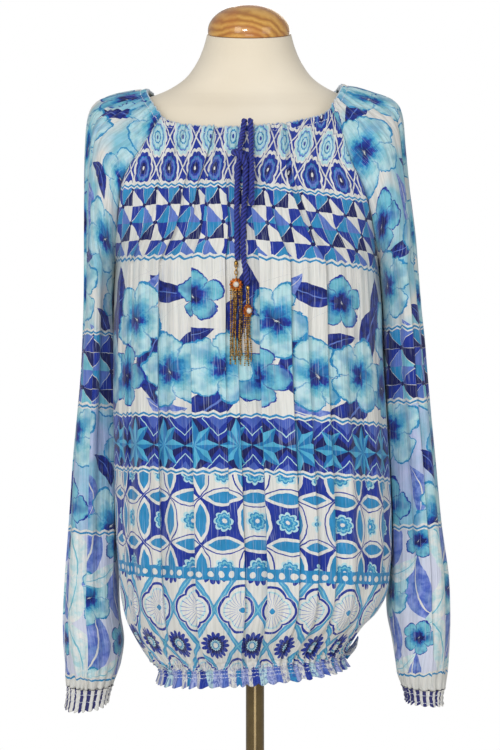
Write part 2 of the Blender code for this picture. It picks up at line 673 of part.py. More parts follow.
pole_profile = [(0.0, POLE_TOP), (POLE_R - 0.5, POLE_TOP), (POLE_R, POLE_TOP - 0.5),
                (POLE_R, SOCKET_TOP + 1.0), (POLE_R - 0.5, SOCKET_TOP + 0.5),
                (0.0, SOCKET_TOP + 0.5)]
turned("stand_pole", pole_profile, 24, bronze)
base_profile = [(0.0, SOCKET_TOP), (SOCKET_R - 1.5, SOCKET_TOP), (SOCKET_R, SOCKET_TOP - 1.5),
                (SOCKET_R, BASE_T + 3.0), (SOCKET_R + 3.0, BASE_T), (BASE_R - 3.0, BASE_T),
                (BASE_R, BASE_T - 3.0), (BASE_R, 1.0), (BASE_R - 1.0, 0.0), (0.0, 0.0)]
turned("stand_base", base_profile, 40, bronze_base)
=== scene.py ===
"""Looks of a long-sleeve raglan blouse, gathered at neck, hem and cuffs, on a limbless dress form.

Metres, +Z up, the front faces -Y; "right" and "left" are the wearer's, and right is -X. Tables
are in millimetres and repeat the part's own, so every cloth piece lies on its solid's form.
"""
import math
from functools import partial

import bpy
import numpy as np
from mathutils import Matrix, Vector
from mathutils.bvhtree import BVHTree


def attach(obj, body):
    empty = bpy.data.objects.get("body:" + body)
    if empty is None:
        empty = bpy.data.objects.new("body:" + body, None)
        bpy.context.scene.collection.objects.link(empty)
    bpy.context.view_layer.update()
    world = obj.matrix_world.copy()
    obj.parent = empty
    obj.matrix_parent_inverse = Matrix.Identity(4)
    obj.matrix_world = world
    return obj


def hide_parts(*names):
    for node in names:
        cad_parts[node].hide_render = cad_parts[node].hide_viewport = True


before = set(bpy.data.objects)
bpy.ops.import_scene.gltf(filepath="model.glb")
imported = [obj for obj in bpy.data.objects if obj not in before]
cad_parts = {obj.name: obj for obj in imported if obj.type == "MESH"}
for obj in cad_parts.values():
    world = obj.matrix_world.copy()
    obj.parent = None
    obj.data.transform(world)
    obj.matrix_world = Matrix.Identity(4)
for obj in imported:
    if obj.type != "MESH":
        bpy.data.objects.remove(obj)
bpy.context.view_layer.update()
bpy.ops.object.select_all(action="DESELECT")

MM = 0.001

# ---- driving dimensions (mm) ----
CLOTH = 0.8               # thickness of the cloth with its crinkle
FORM_SHIFT = -5.0         # the torso leans this far to the wearer's right of its pole
NECK_Z = 1345.0           # front middle of the neckline
ROPE_R = 3.45             # out to the crowns of the rope's strands
CORD_LAY = 15.0           # one turn of the rope's three strands
CAP_TILT = 14.0           # degrees the neck plate leans forward
POLE_R, POLE_TOP = 11.0, 776.0
BASE_R, BASE_T = 150.0, 9.0
SOCKET_R, SOCKET_TOP = 19.0, 34.0
BODY_COLS, SLEEVE_COLS, CUFF_COLS, CUFF_RINGS = 264, 168, 160, 15
# rows of the mesh: up to how far from the neck, or from the lower edge where it is below
# zero, and how far apart
BODY_ROWS = [(14, 1.5), (70, 3.2), (-75, 5.2), (0, 1.9)]
SLEEVE_ROWS = [(14, 1.6), (80, 3.4), (-70, 5.0), (0, 2.2)]
SLEEVE_CLEAR = 0.9        # how far a sleeve's tube stands off the body
PLEAT_EDGE = 2.4          # width of a pleat's steep side
SEAM_REACH = 4.0          # how far a seam holds the cloth beside it
CHANNEL_MIDDLE = 4.0      # middle of the drawstring's channel, from the neck edge
CORD_STEP = 0.8           # from ring to ring of a cord's mesh
STITCH, THREAD = 3.0, 0.38    # from stitch to stitch, and half a thread's width
SHIRRING, CUFF_SHIRRING = 5.0, 6.0    # from elastic to elastic
BEAD_STEP = 2.15          # from bead to bead in a tassel's chains
ENDLESS = 1e9             # reach of gathers that don't die out

# ---- sleeve sections, neckline to cuff: front seam, crest, centre and half depth, rise of the
# back, and half of the opening towards the body in degrees ----
SLEEVE = {
    "right": [
        (-104, 1359, -123, 1395, -11, 64, 21, 80), (-115, 1341, -142, 1394, -7, 75, 32, 79),
        (-128, 1319, -165, 1391, -3, 86, 35, 77), (-141, 1298, -184, 1383, 0, 93, 32, 72),
        (-150, 1279, -193, 1364, 0, 95, 25, 65), (-154, 1251, -196.5, 1324, 0, 94, 19, 54),
        (-157.5, 1222, -197.5, 1272, 0, 91, 14, 38), (-160, 1199, -198, 1224, 0, 86, 9, 19),
        (-161, 1184, -198.5, 1184, 0, 81, 5, 0), (-163, 1146, -200.4, 1146, 14, 77, 0, 0),
        (-163, 1100, -203.1, 1100, 26, 73, 0, 0), (-162.8, 1050, -206.8, 1050, 34, 70, 0, 0),
        (-162.7, 999, -211.8, 999, 37, 67, 0, 0), (-161.8, 942, -216.4, 942, 38, 63, 0, 0),
        (-160.2, 874, -220.6, 874, 38, 62, 0, 0), (-159.4, 816, -224.6, 816, 37, 62, 0, 0),
        (-158.2, 770, -227, 770, 36, 62, 0, 0), (-153.8, 736, -227, 736, 35, 59, 0, 0),
        (-157.3, 709, -225.3, 709, 33, 51, 3, 0), (-162.6, 693, -223.7, 693, 32, 42, 6, 0),
        (-167.4, 683, -222.6, 683, 31, 34, 8, 0),
    ],
    "left": [
        (92.6, 1368, 107, 1401, -11, 64, 17, 80), (100, 1352, 126, 1399, -7, 75, 27, 79),
        (108, 1333, 149, 1393, -3, 86, 31, 77), (116, 1306, 171, 1386, 0, 93, 31, 72),
        (129, 1279, 180.5, 1369, 0, 95, 25, 65), (138, 1252, 184.5, 1328, 0, 94, 19, 54),
        (145, 1222, 189, 1278, 0, 91, 14, 38), (151, 1199, 195.5, 1226, 0, 86, 9, 19),
        (153, 1184, 199, 1184, 0, 81, 5, 0), (156.3, 1146, 203.6, 1146, 14, 77, 0, 0),
        (157.2, 1100, 210.2, 1100, 26, 73, 0, 0), (158.4, 1050, 215.5, 1050, 34, 70, 0, 0),
        (160.8, 999, 221, 999, 37, 67, 0, 0), (163.8, 942, 226.8, 942, 38, 63, 0, 0),
        (165.8, 874, 233.6, 874, 38, 62, 0, 0), (165.3, 816, 241.8, 816, 37, 62, 0, 0),
        (164.7, 770, 243.4, 770, 36, 62, 0, 0), (171, 736, 241.7, 736, 35, 59, 0, 0),
        (175.4, 709, 239.1, 709, 33, 51, 2, 0), (178.2, 693, 237, 691, 32, 42, 3, 0),
        (183.5, 681, 234.9, 678, 31, 34, 3, 0),
    ],
}
CUFF = {
    "right": [
        (-168.3, 681.5, -222.2, 681.3, 31, 33.5, 8, 0), (-170.8, 672, -223.1, 669, 31, 31.5, 10, 0),
        (-173.8, 662, -224.7, 655, 31, 32.5, 12, 0),
    ],
    "left": [
        (184.4, 679.8, 234.4, 676.8, 31, 33.5, 3, 0), (186.6, 671, 232.8, 668, 31, 31.5, 3, 0),
        (188.6, 663, 232.3, 658, 31, 32.5, 3, 0),
    ],
}
# ---- body: yoke rows (front_y, front_z, back_y, back_z, arc, drop) and rows below the
# underarm (right_x, right_z, left_x, left_z, front_y, front_z, back_y, back_z) ----
YOKE = [
    (-89, 1345, 66, 1404, 50, 0.6), (-97, 1325, 77, 1387, 52, 0.7),
    (-106, 1304, 87, 1364, 56, 0.85), (-115, 1281, 95, 1338, 62, 1), (-122, 1258, 100, 1308, 69, 1),
    (-127, 1238, 102, 1276, 76, 1), (-130, 1218, 104, 1244, 82, 1), (-131, 1202, 105, 1218, 87, 1),
    (-132, 1188, 106, 1196, 90, 1),
]
BODY = [
    (-161, 1184, 153, 1184, -132, 1188, 106, 1196),
    (-163, 1140, 156.5, 1140, -132, 1142, 105, 1146),
    (-164, 1080, 158, 1080, -133, 1081, 105, 1083), (-164, 1010, 162, 1010, -135, 1010, 108, 1010),
    (-163, 940, 166, 940, -138, 940, 116, 940), (-161, 870, 168, 870, -141, 870, 125, 870),
    (-157.5, 820, 166, 824, -142, 820, 130, 820), (-154.5, 788, 162, 796, -139, 785, 129, 787),
    (-148.5, 765, 151, 775, -131, 762, 121, 765), (-137, 743, 134, 758, -118, 744, 110, 748),
    (-119, 716, 116, 733, -105, 728, 100, 731), (-112, 710, 112.5, 727, -102, 721, 97, 724),
    (-108.5, 703, 110.5, 720, -101, 714, 96, 717), (-110, 691, 116, 709, -106, 699, 102, 702),
]
UNDERARM = len(YOKE) - 1
HEM_TOP = UNDERARM + 10
HEM_LOW = UNDERARM + 12
HEM_EDGE = UNDERARM + 13
SLEEVE_END = len(SLEEVE["right"]) - 1

# ---- folds: place across (0 to 1), half width towards each side, depth in mm (+ ridge, -
# trough), first and last station, drift across over the length ----
FOLDS = {
    "front_panel": [
        (0.075, 0.034, 0.026, -6, 8.5, 19, 0.05), (0.208, 0.03, 0.026, 4.5, 7, 18, 0.01),
        (0.314, 0.028, 0.024, 4, 6, 17.5, 0.002), (0.418, 0.027, 0.024, 3.5, 5, 18, 0),
        (0.643, 0.026, 0.022, 4, 6, 18, -0.004), (0.745, 0.032, 0.026, 4, 8, 18.2, -0.012),
        (0.86, 0.028, 0.024, 4, 9, 18.2, -0.03), (0.925, 0.026, 0.034, -5.5, 9.5, 18.8, -0.05),
        # finer creases between them
        (0.112, 0.012, 0.005, 2.6, 7, 16, 0.02), (0.19, 0.004, 0.012, -2.4, 2, 13, 0.01),
        (0.234, 0.01, 0.004, -2.6, 1, 17, 0.004), (0.291, 0.004, 0.011, -2.2, 1.5, 15.5, -0.004),
        (0.335, 0.01, 0.004, -2.6, 0.5, 18, 0.004), (0.392, 0.004, 0.01, -2.4, 1, 16, 0.003),
        (0.44, 0.01, 0.004, -2.8, 0.5, 18.4, -0.003), (0.5, 0.004, 0.01, -2.6, 5.5, 17.5, 0.002),
        (0.566, 0.01, 0.004, -2.6, 1, 18.2, 0.003), (0.624, 0.004, 0.011, -2.4, 2, 16.5, 0.002),
        (0.664, 0.009, 0.004, -2.6, 0.5, 18.4, -0.002),
        (0.716, 0.004, 0.012, -2.8, 2.5, 17, -0.006), (0.772, 0.01, 0.005, -2.2, 3.5, 18, -0.01),
        (0.835, 0.005, 0.012, 2.2, 6.5, 15, -0.012), (0.888, 0.012, 0.005, -2.2, 7.5, 17.5, -0.02),
    ],
    "back_panel": [
        (0.09, 0.036, 0.03, -5.5, 9, 18.8, 0.045), (0.185, 0.04, 0.034, 4.5, 8, 18.2, 0.02),
        (0.29, 0.006, 0.028, -6.5, 4, 18.8, 0.015), (0.4, 0.036, 0.03, 4.5, 7, 17.8, 0),
        (0.5, 0.026, 0.005, -6.8, 3, 18.8, 0.005), (0.6, 0.036, 0.03, 4.5, 6, 18, -0.01),
        (0.71, 0.006, 0.028, -6, 5, 18.6, -0.015), (0.81, 0.036, 0.032, 4.5, 9, 18, -0.025),
        (0.915, 0.03, 0.034, -5.5, 9, 18.8, -0.045), (0.14, 0.005, 0.015, -3, 5, 18, 0.01),
        (0.235, 0.014, 0.005, -3.4, 2, 17.5, 0.006), (0.378, 0.01, 0.004, -2.2, 0.5, 14, 0.004),
        (0.53, 0.004, 0.01, -2.4, 1, 15, 0), (0.565, 0.014, 0.005, -4.2, 2, 18.8, 0),
        (0.655, 0.005, 0.015, -3.4, 1.5, 17.4, -0.004), (0.684, 0.01, 0.004, -2.2, 0.5, 16, -0.002),
        (0.76, 0.014, 0.005, -3.6, 3, 18.6, -0.008), (0.865, 0.006, 0.014, -2.6, 6, 18, -0.016),
    ],
    "sleeve_right": [
        (0.18, 0.036, 0.03, -6.8, 5, 18.5, 0.03), (0.33, 0.045, 0.04, 4.7, 9, 18.8, 0),
        (0.42, 0.035, 0.03, -5.4, 12, 19.6, -0.02), (0.64, 0.04, 0.036, -6.8, 6, 18, 0.01),
        (0.8, 0.045, 0.04, -5.4, 10, 19.3, 0), (0.12, 0.018, 0.007, 3.8, 8, 17, 0.01),
        (0.362, 0.008, 0.024, -4.1, 2, 12, 0.06), (0.3, 0.016, 0.007, -3.2, 0.5, 9, 0.02),
        (0.47, 0.007, 0.02, -3.8, 1, 10, 0.04), (0.52, 0.022, 0.008, -4.1, 9.5, 18.5, -0.03),
        (0.57, 0.018, 0.014, 3, 3, 12, 0.04), (0.72, 0.007, 0.024, -4.6, 7, 19.2, 0.01),
        (0.89, 0.02, 0.012, -3.2, 9.5, 18, 0),
    ],
    "sleeve_left": [
        (0.2, 0.036, 0.03, -6.8, 6, 18.2, 0.01), (0.31, 0.04, 0.034, 4.7, 8, 19, 0.01),
        (0.4, 0.035, 0.03, -5.4, 11, 19.4, 0), (0.62, 0.04, 0.036, -6.8, 5, 18.6, 0.01),
        (0.82, 0.045, 0.04, -5.4, 9, 19.2, -0.01), (0.13, 0.018, 0.007, 3.5, 8.5, 18, 0),
        (0.345, 0.022, 0.007, -4.3, 1.5, 13, 0.05), (0.29, 0.007, 0.018, -3.2, 0.5, 8.5, 0.01),
        (0.45, 0.007, 0.022, -3.5, 1.5, 10.5, 0.05), (0.5, 0.008, 0.024, -4.1, 9, 18.8, -0.02),
        (0.56, 0.018, 0.014, 3.2, 3, 11, 0.03), (0.71, 0.024, 0.008, -4.3, 7, 19.2, 0),
        (0.9, 0.014, 0.02, -3, 9.5, 17.5, 0),
    ],
}
# ---- pleats that lie over to one side: place across, side of the hidden cloth (1: to the
# wearer's left), height and hidden cloth in mm, first and last station, drift ----
PLEATS = {
    "front_panel": [
        (0.158, 1, 6, 14, 5, 18, -0.004), (0.262, 1, 7.5, 16, 2, 18.8, 0.006),
        (0.314, 1, 4, 8, -2, 6, 0.002), (0.365, -1, 6.5, 14, 1, 18, 0),
        (0.437, 1, 6.5, 12, 2.6, 13, 0.004), (0.472, 1, 6.5, 12, 8.5, 19, 0),
        (0.535, -1, 8.5, 18, 2.4, 19, 0), (0.6, 1, 7, 14, 2.5, 18.8, 0),
        (0.645, 1, 5, 10, 9, 19.2, -0.002), (0.69, 1, 7, 14, -1, 18, 0.004),
        (0.735, -1, 4.5, 8, -2, 7, -0.004), (0.81, -1, 6, 12, 5, 18.4, -0.01),
    ],
    "back_panel": [
        (0.24, 1, 5.5, 12, 3, 18.6, 0.01), (0.345, 1, 7.5, 16, 2, 18.8, 0.004),
        (0.41, -1, 5, 10, -1, 9, 0), (0.448, 1, 6, 12, 6, 19, 0.002),
        (0.52, -1, 8, 18, 2, 18.8, 0), (0.59, -1, 6, 12, 1, 17, 0),
        (0.66, 1, 6.5, 14, 3, 19, -0.004), (0.76, -1, 6, 14, 4, 18.4, -0.012),
    ],
    "sleeve_right": [
        (0.25, 1, 5, 10, 9, 19.8, 0.004), (0.35, -1, 4.5, 10, -1, 12, 0.04),
        (0.44, 1, 4.5, 10, 0, 10.5, 0.03), (0.52, -1, 4.5, 8, 9.5, 19, -0.02),
        (0.7, 1, 5, 10, 7, 19.4, 0.01), (0.6, -1, 4, 8, -1, 9, 0),
    ],
    "sleeve_left": [
        (0.262, 1, 5, 10, 7, 19.6, 0.02), (0.345, -1, 4.5, 10, -1, 13, 0.04),
        (0.45, 1, 4.5, 10, 0, 10.5, 0.04), (0.5, -1, 4.5, 8, 9, 19.2, -0.01),
        (0.71, -1, 5, 10, 7, 19.4, 0), (0.61, 1, 4, 8, -1, 9, 0),
    ],
}
# ---- gathers along each gathered edge: count across, half height, reach away from the edge,
# seed of their unevenness ----
NECK_GATHERS = {
    "front_panel": (42, 2.3, 62.0, 11),
    "back_panel": (42, 2.3, 62.0, 12),
    "sleeve_right": (26, 2.5, 64.0, 13),
    "sleeve_left": (26, 2.5, 64.0, 14),
}
HEM_GATHERS = {"front_panel": (46, 2.7, 40.0, 21), "back_panel": (46, 2.7, 40.0, 22)}
FRILL_WAVES = {"front_panel": (26, 4.2, ENDLESS, 23),
               "back_panel": (26, 4.2, ENDLESS, 24)}
DRAPE_SEED = {"front_panel": 41, "back_panel": 41, "sleeve_right": 51, "sleeve_left": 52}
CUFF_GATHERS = {"right": (22, 2.2, 40.0, 31), "left": (22, 2.2, 40.0, 32)}

# the frill is turned up beside the wearer's left side seam, on the back panel: place and
# half width across, how far its root and its edge stand out, and how far it turns up
FLIP_AT, FLIP_HALF = 0.955, 0.035
FLIP_ROOT, FLIP_OUT, FLIP_UP = 5.0, 15.0, 24.0

# ---- flat cut: width of each piece by station, and the tilt of the print at the left ----
BODY_CUT = {"station": (0, 3, 8, 13, 21), "width": (380, 520, 630, 640, 650)}
SLEEVE_CUT = {"station": (0, 4, 8, 14, 20), "width": (250, 320, 370, 350, 310)}
CUFF_CUT, CUFF_STRIPES = 262.0, 22
PRINT_DROOP = 16.0

# ---- sewing: rows of stitches, in mm from the neck edge, or from the hem band plus HEM_MARK ----
HEM_MARK = 300.0
HEM_BLOCK = 118.0         # the hem band's printed blocks repeat at this
NECK_ROWS = (8.6,)
HEM_ROWS = tuple(HEM_MARK + row for row in (8.0, 12.0, 16.0, 20.0))
CUFF_ROWS = (5.5, 14.5)

# ---- dress form sections: z, half_x, front, back ----
FORM = [
    (780, 118, 80, 92), (786, 130, 90, 102), (800, 139, 98, 110), (840, 145, 104, 116),
    (900, 143, 104, 110), (965, 128, 98, 94), (1030, 114, 91, 82), (1095, 121, 97, 82),
    (1155, 137, 109, 87), (1208, 144, 115, 90), (1255, 142, 110, 92), (1300, 146, 98, 90),
    (1330, 157, 88, 86), (1352, 166, 78, 79), (1368, 166, 69, 71), (1377, 155, 62, 65),
    (1384, 134, 57, 61), (1390, 114, 54, 58), (1399, 94, 52, 56), (1412, 76, 51.5, 54),
    (1430, 63, 51, 52), (1448, 55, 50.5, 51), (1464, 50.5, 50, 50),
]
NECK_CENTRE = (-2.0, -2.0)
CAP_R, CAP_HEIGHT, CAP_WAIST = 49.6, 36.0, 4.0

# ---- drawstrings: route points x, z and how far out they lie from the cloth ----
CORDS = {
    "drawstring_right": [
        (-7.4, 1349.8, -1.4), (-7.7, 1348.8, 3.6), (-8.8, 1341, 4.2), (-10, 1331, 5),
        (-11.8, 1322, 8.4), (-12.4, 1312, 10.6), (-13.4, 1301, 8.6), (-14.8, 1286, 5.2),
        (-15.9, 1262, 4.4), (-16, 1238, 4.3), (-15.8, 1212, 4.4), (-15.2, 1186.5, 4.6),
    ],
    "drawstring_left": [
        (-0.8, 1349.8, -1.4), (-0.5, 1348.8, 3.6), (0.2, 1338, 4.2), (0.6, 1322, 5.4),
        (1, 1302, 9.2), (1.4, 1280, 10.8), (1.2, 1263, 10.8), (0.9, 1254.6, 9.8),
        (0.6, 1251.8, 7.2), (0.4, 1254.6, 4.6), (0.1, 1263, 3.8), (-0.8, 1280, 3.5),
        (-2.4, 1296, 3.4), (-5.6, 1308, 3.3), (-12.2, 1313.4, 3.4), (-18.2, 1312.6, 5.8),
        (-19.6, 1311.2, 10.2), (-17.9, 1310, 15), (-12.6, 1307.6, 17.2),
        (-8, 1301.5, 15.6), (-6.2, 1293, 11.8), (-6, 1279, 8.2), (-6.8, 1261, 5.4),
        (-8.4, 1238, 4.4), (-8.8, 1210, 4.4), (-8, 1188, 4.6), (-5.8, 1173, 4.8), (-4.4, 1158, 5),
    ],
}
# ---- tassels: rosette centre, turn, strands, their pitch, lower end, top of the hanger ----
TASSELS = {
    "tassel_right": (-16.8, 1159.0, 0.0, 8, 1.95, 1069.0, 1183.2),
    "tassel_left": (-3.6, 1129.0, 50.0, 6, 1.75, 1067.0, 1154.6),
}
ROSETTE_R, ROSETTE_T, PEARL_R, TASSEL_LIFT = 7.4, 3.2, 3.6, 6.5


# =============================== camera, light, floor ===============================
EYE = Vector((-0.006, -2.6, 1.056))
VIEW_HEIGHT = 0.900       # metres of the blouse's plane from top to bottom of the picture
SENSOR = 36.0
LAMPS_AIM = Vector((0, 0, 1.05))
SKY = 0.38                # strength of the white studio, apart from what the camera sees


def in_scene(name, data):
    """A new object at the origin, linked to the scene."""
    thing = bpy.data.objects.new(name, data)
    bpy.context.scene.collection.objects.link(thing)
    return thing


def camera_and_light():
    """A level camera at the height of the waist, five soft lights and a white studio."""
    lens = bpy.data.cameras.new("camera")
    lens.sensor_width = SENSOR
    lens.lens = SENSOR * -EYE.y / VIEW_HEIGHT
    camera = in_scene("camera", lens)
    camera.location = EYE
    camera.rotation_euler = (math.pi / 2, 0, 0)
    bpy.context.scene.camera = camera
    bpy.context.scene.view_settings.view_transform = "Standard"

    for name, place, width, height, power in (
            ("key", (-0.55, -2.7, 1.95), 0.45, 0.45, 26.0),
            ("side", (-1.5, -2.4, 2.0), 0.8, 1.8, 14.0),
            ("low", (0.0, -2.75, 0.30), 1.2, 0.5, 4.5),
            ("fill", (2.0, -1.8, 1.8), 1.2, 1.8, 10.5),
            ("rim", (0.5, 2.2, 2.2), 1.5, 1.5, 12.0)):
        light = bpy.data.lights.new(name, "AREA")
        light.shape = "RECTANGLE"
        light.size = width
        light.size_y = height
        light.energy = power
        lamp = in_scene(name, light)
        lamp.location = place
        lamp.rotation_euler = (LAMPS_AIM - lamp.location).to_track_quat("-Z", "Y").to_euler()

    world = bpy.data.worlds.new("studio")
    bpy.context.scene.world = world
    world.use_nodes = True
    add = nodes_of(world.node_tree)
    seen = add("LightPath").outputs["Is Camera Ray"]
    strength = add("MapRange", seen, 0.0, 1.0, SKY, 1.0)
    background = world.node_tree.nodes["Background"]
    background.inputs["Color"].default_value = paint("FFFFFF")
    world.node_tree.links.new(background.inputs["Strength"], strength.outputs[0])

    bpy.ops.mesh.primitive_plane_add(size=5.0, location=(0, 0, 0))
    floor = bpy.context.object
    floor.name = "studio_floor"
    paper, _ = finish("matt_studio_paper", Roughness=0.9, Base_Color=paint("F1EFEA"))
    floor.data.materials.append(paper)
    floor.select_set(False)


# =============================== finishes ===============================
# Screen-printed inks on off-white viscose.
INK = {
    "white": "E0DFDA", "royal": "20369A", "indigo": "161C5C", "turquoise": "2E8BC0",
    "aqua": "78BED2", "pale": "BBDCE2", "periwinkle": "6079C6",
}
HALF = (0.5, 0.5, 0.0)


def paint(code):
    """An ink's name or an sRGB hex value, as linear colour."""
    code = INK.get(code, code)
    parts = [int(code[k:k + 2], 16) / 255 for k in (0, 2, 4)]
    return [c / 12.92 if c <= 0.04045 else ((c + 0.055) / 1.055) ** 2.4 for c in parts] + [1.0]


def nodes_of(tree):
    """The function that adds a node to a tree, sets its properties and feeds its sockets."""
    def add(kind, *values, stops=(), **settings):
        # the kind may name its operation, data or interpolation too, as in "Math ADD";
        # a string is a colour, a node is its first output, and None leaves a socket as it is
        kind, *mode = kind.split()
        node = tree.nodes.new(kind if kind.startswith("Node") else "ShaderNode" + kind)
        for name, value in settings.items():
            setattr(node, name, value)
        if kind == "ValToRGB":
            band = node.color_ramp.elements
            while len(band) < len(stops):
                band.new(1.0)
            for element, (at, code) in zip(band, stops):
                element.position = at
                element.color = paint(code)
            node.color_ramp.interpolation = mode[0] if mode else "LINEAR"
        elif mode:
            setattr(node, "data_type" if kind == "Mix" else "operation", mode[0])
        for socket, value in zip([s for s in node.inputs if s.enabled], values):
            if isinstance(value, str):
                value = paint(value)
            if isinstance(value, bpy.types.Node):
                value = first_output(value)
            if isinstance(value, bpy.types.NodeSocket):
                tree.links.new(socket, value)
            elif value is not None:
                socket.default_value = value
        return node
    return add


def first_output(node):
    return next(socket for socket in node.outputs if socket.enabled)


def finish(name, **values):
    """A new material with its shader's sockets set, and the function that adds its nodes."""
    mat = bpy.data.materials.new(name)
    mat.use_nodes = True
    for socket, value in values.items():
        socket = mat.node_tree.nodes["Principled BSDF"].inputs[socket.replace("_", " ")]
        socket.default_value = value
    return mat, nodes_of(mat.node_tree)


def dyed(mat, colour, *reliefs):
    """Feeds a finish its colour and one bump over another: height, strength, depth in metres."""
    add = nodes_of(mat.node_tree)
    relief = None
    for height, strength, depth in reliefs:
        relief = add("Bump", strength, depth, None, height, relief)
    sockets = mat.node_tree.nodes["Principled BSDF"].inputs
    mat.node_tree.links.new(sockets["Base Color"], first_output(colour))
    if reliefs:
        mat.node_tree.links.new(sockets["Normal"], first_output(relief))
    return mat


# =============================== the printed cloth ===============================
def petal_outline(add, place, petals, notch, sharp):
    """Distance from a motif's middle as a share of its petal outline, and the petals' lobes."""
    x, y, _ = add("SeparateXYZ", place).outputs
    turned = add("Math MULTIPLY", add("Math ARCTAN2", y, x), petals / 2)
    lobe = add("Math ABSOLUTE", add("Math COSINE", turned))
    outline = add("Math MULTIPLY_ADD", add("Math POWER", lobe, sharp), notch, 1 - notch)
    return add("Math DIVIDE", add("VectorMath LENGTH", place), outline), lobe


def motif_group(name):
    """An empty group that turns a place in a motif's own square, -1 to 1, into ink and cover."""
    tree = bpy.data.node_groups.new(name, "ShaderNodeTree")
    for title, way, kind in (("Place", "INPUT", "Vector"), ("Ink", "OUTPUT", "Color"),
                             ("Cover", "OUTPUT", "Float")):
        tree.interface.new_socket(title, in_out=way, socket_type="NodeSocket" + kind)
    add = nodes_of(tree)
    return tree, add, add("NodeGroupInput")


def five_petal_flower(name, petal, shade, edge, heart):
    """An open flower in loose washes: dark heart, streaked petals and a thin darker rim."""
    tree, add, place = motif_group(name)
    ripple = add("TexNoise", place, 3.0, 3.0, 0.6).outputs["Color"]
    ripple = add("VectorMath SUBTRACT", ripple, (0.5, 0.5, 0.5))
    moved = add("VectorMath MULTIPLY_ADD", ripple, (0.30, 0.30, 0.0), place)
    share, lobe = petal_outline(add, moved, 5, 0.40, 0.45)
    streak = add("Math MULTIPLY_ADD", add("TexNoise", place, 9.0, 4.0, 0.7), 0.44, -0.22)
    ink = add("ValToRGB", add("Math ADD", share, streak), stops=[
        (0.00, "white"), (0.05, "indigo"), (0.25, heart), (0.33, edge),
        (0.44, shade), (0.66, petal), (0.86, petal), (1.00, shade)])
    # some petals are washed over with the deeper ink
    pool = add("TexNoise", place, 1.7, 2.0, 0.5)
    ink = add("Mix RGBA", add("MapRange", pool, 0.50, 0.70, 0.0, 0.7), ink, edge)
    parting = add("MapRange", lobe, 0.01, 0.14, 0.8, 0.0)
    drawn = add("Math MAXIMUM", parting, add("Math GREATER_THAN", share, 0.945))
    ink = add("Mix RGBA", drawn, ink, edge)
    add("NodeGroupOutput", ink, add("Math LESS_THAN", share, 1.0))
    return tree


def pointed_leaf(name, blade, shade, rib):
    """A bent leaf with a pale rib, lying along its own first axis."""
    tree, add, place = motif_group(name)
    x, y, _ = add("SeparateXYZ", place).outputs
    along = add("Math POWER", x, 2.0)
    across = add("Math ADD", y, add("Math MULTIPLY_ADD", along, 0.34, -0.16))
    half = add("Math MAXIMUM", add("Math MULTIPLY_ADD", along, -0.36, 0.36), 0.001)
    share = add("Math DIVIDE", add("Math ABSOLUTE", across), half)
    mottle = add("MapRange", add("TexNoise", place, 4.0, 3.0, 0.6), 0.36, 0.62, 0.0, 1.0)
    ink = add("Mix RGBA", mottle, blade, shade)
    ink = add("Mix RGBA", add("Math LESS_THAN", share, 0.06), ink, rib)
    add("NodeGroupOutput", ink, add("Math LESS_THAN", share, 1.0))
    return tree


def strew(add, place, ground, repeat, plan):
    """Lays motifs over a ground by a plan in millimetres that repeats across and down."""
    width, height = repeat[0] * MM / 2, repeat[1] * MM / 2
    for group, x, y, radius, turn in plan:
        near = add("VectorMath SUBTRACT", place, (x * MM, y * MM, 0.0))
        near = add("VectorMath WRAP", near, (width, height, 1.0), (-width, -height, -1.0))
        own = add("Mapping", near, None, (0, 0, math.radians(turn)),
                  (radius * MM, radius * MM, 1.0), vector_type="TEXTURE")
        motif = add("Group", own, node_tree=group).outputs
        ground = add("Mix RGBA", motif["Cover"], ground, motif["Ink"])
    return ground


def cell(add, place, width, height, start):
    """Place inside the cells of a grid that starts at a height, from -0.5 to 0.5 each way."""
    scaled = add("Mapping", place, (0, start * MM, 0), None, (width * MM, height * MM, 1.0),
                 vector_type="TEXTURE")
    return add("VectorMath SUBTRACT", add("VectorMath FRACTION", scaled), HALF), scaled


def diamond_spread(add, own):
    """Steps across and down from the middle of a cell, added up."""
    return add("VectorMath DOT_PRODUCT", add("VectorMath ABSOLUTE", own), (1.0, 1.0, 0.0))


def half_drop(add, place, width, height, start):
    """Place in the nearest diamond of a half-drop repeat, which set it is, and its spread."""
    first, scaled = cell(add, place, width, height, start)
    moved = add("VectorMath FRACTION", add("VectorMath ADD", scaled, HALF))
    second = add("VectorMath SUBTRACT", moved, HALF)
    spread = diamond_spread(add, first)
    in_first = add("Math LESS_THAN", spread, 0.5)
    return add("Mix VECTOR", in_first, second, first), in_first, spread


def rosette_trellis(add, place):
    """Yoke: royal ground, a white diamond trellis and a ringed rosette in each opening."""
    own, in_first, spread = half_drop(add, place, 56.0, 82.0, -27.0)
    ground = add("Mix RGBA", add("Math COMPARE", spread, 0.5, 0.026), "royal", "white")
    stretched = add("VectorMath MULTIPLY", own, (1.0, 1.12, 0.0))
    share, _ = petal_outline(add, stretched, 10, 0.12, 0.8)
    light = add("ValToRGB CONSTANT", share, stops=[
        (0.00, "royal"), (0.04, "pale"), (0.10, "turquoise"), (0.13, "pale"),
        (0.20, "aqua"), (0.23, "periwinkle"), (0.26, "pale"), (0.33, "white")])
    deep = add("ValToRGB CONSTANT", share, stops=[
        (0.00, "white"), (0.035, "indigo"), (0.10, "royal"), (0.15, "periwinkle"),
        (0.20, "turquoise"), (0.22, "royal"), (0.31, "white")])
    rosette = add("Mix RGBA", in_first, deep, light)
    return add("Mix RGBA", add("Math LESS_THAN", share, 0.375), ground, rosette)


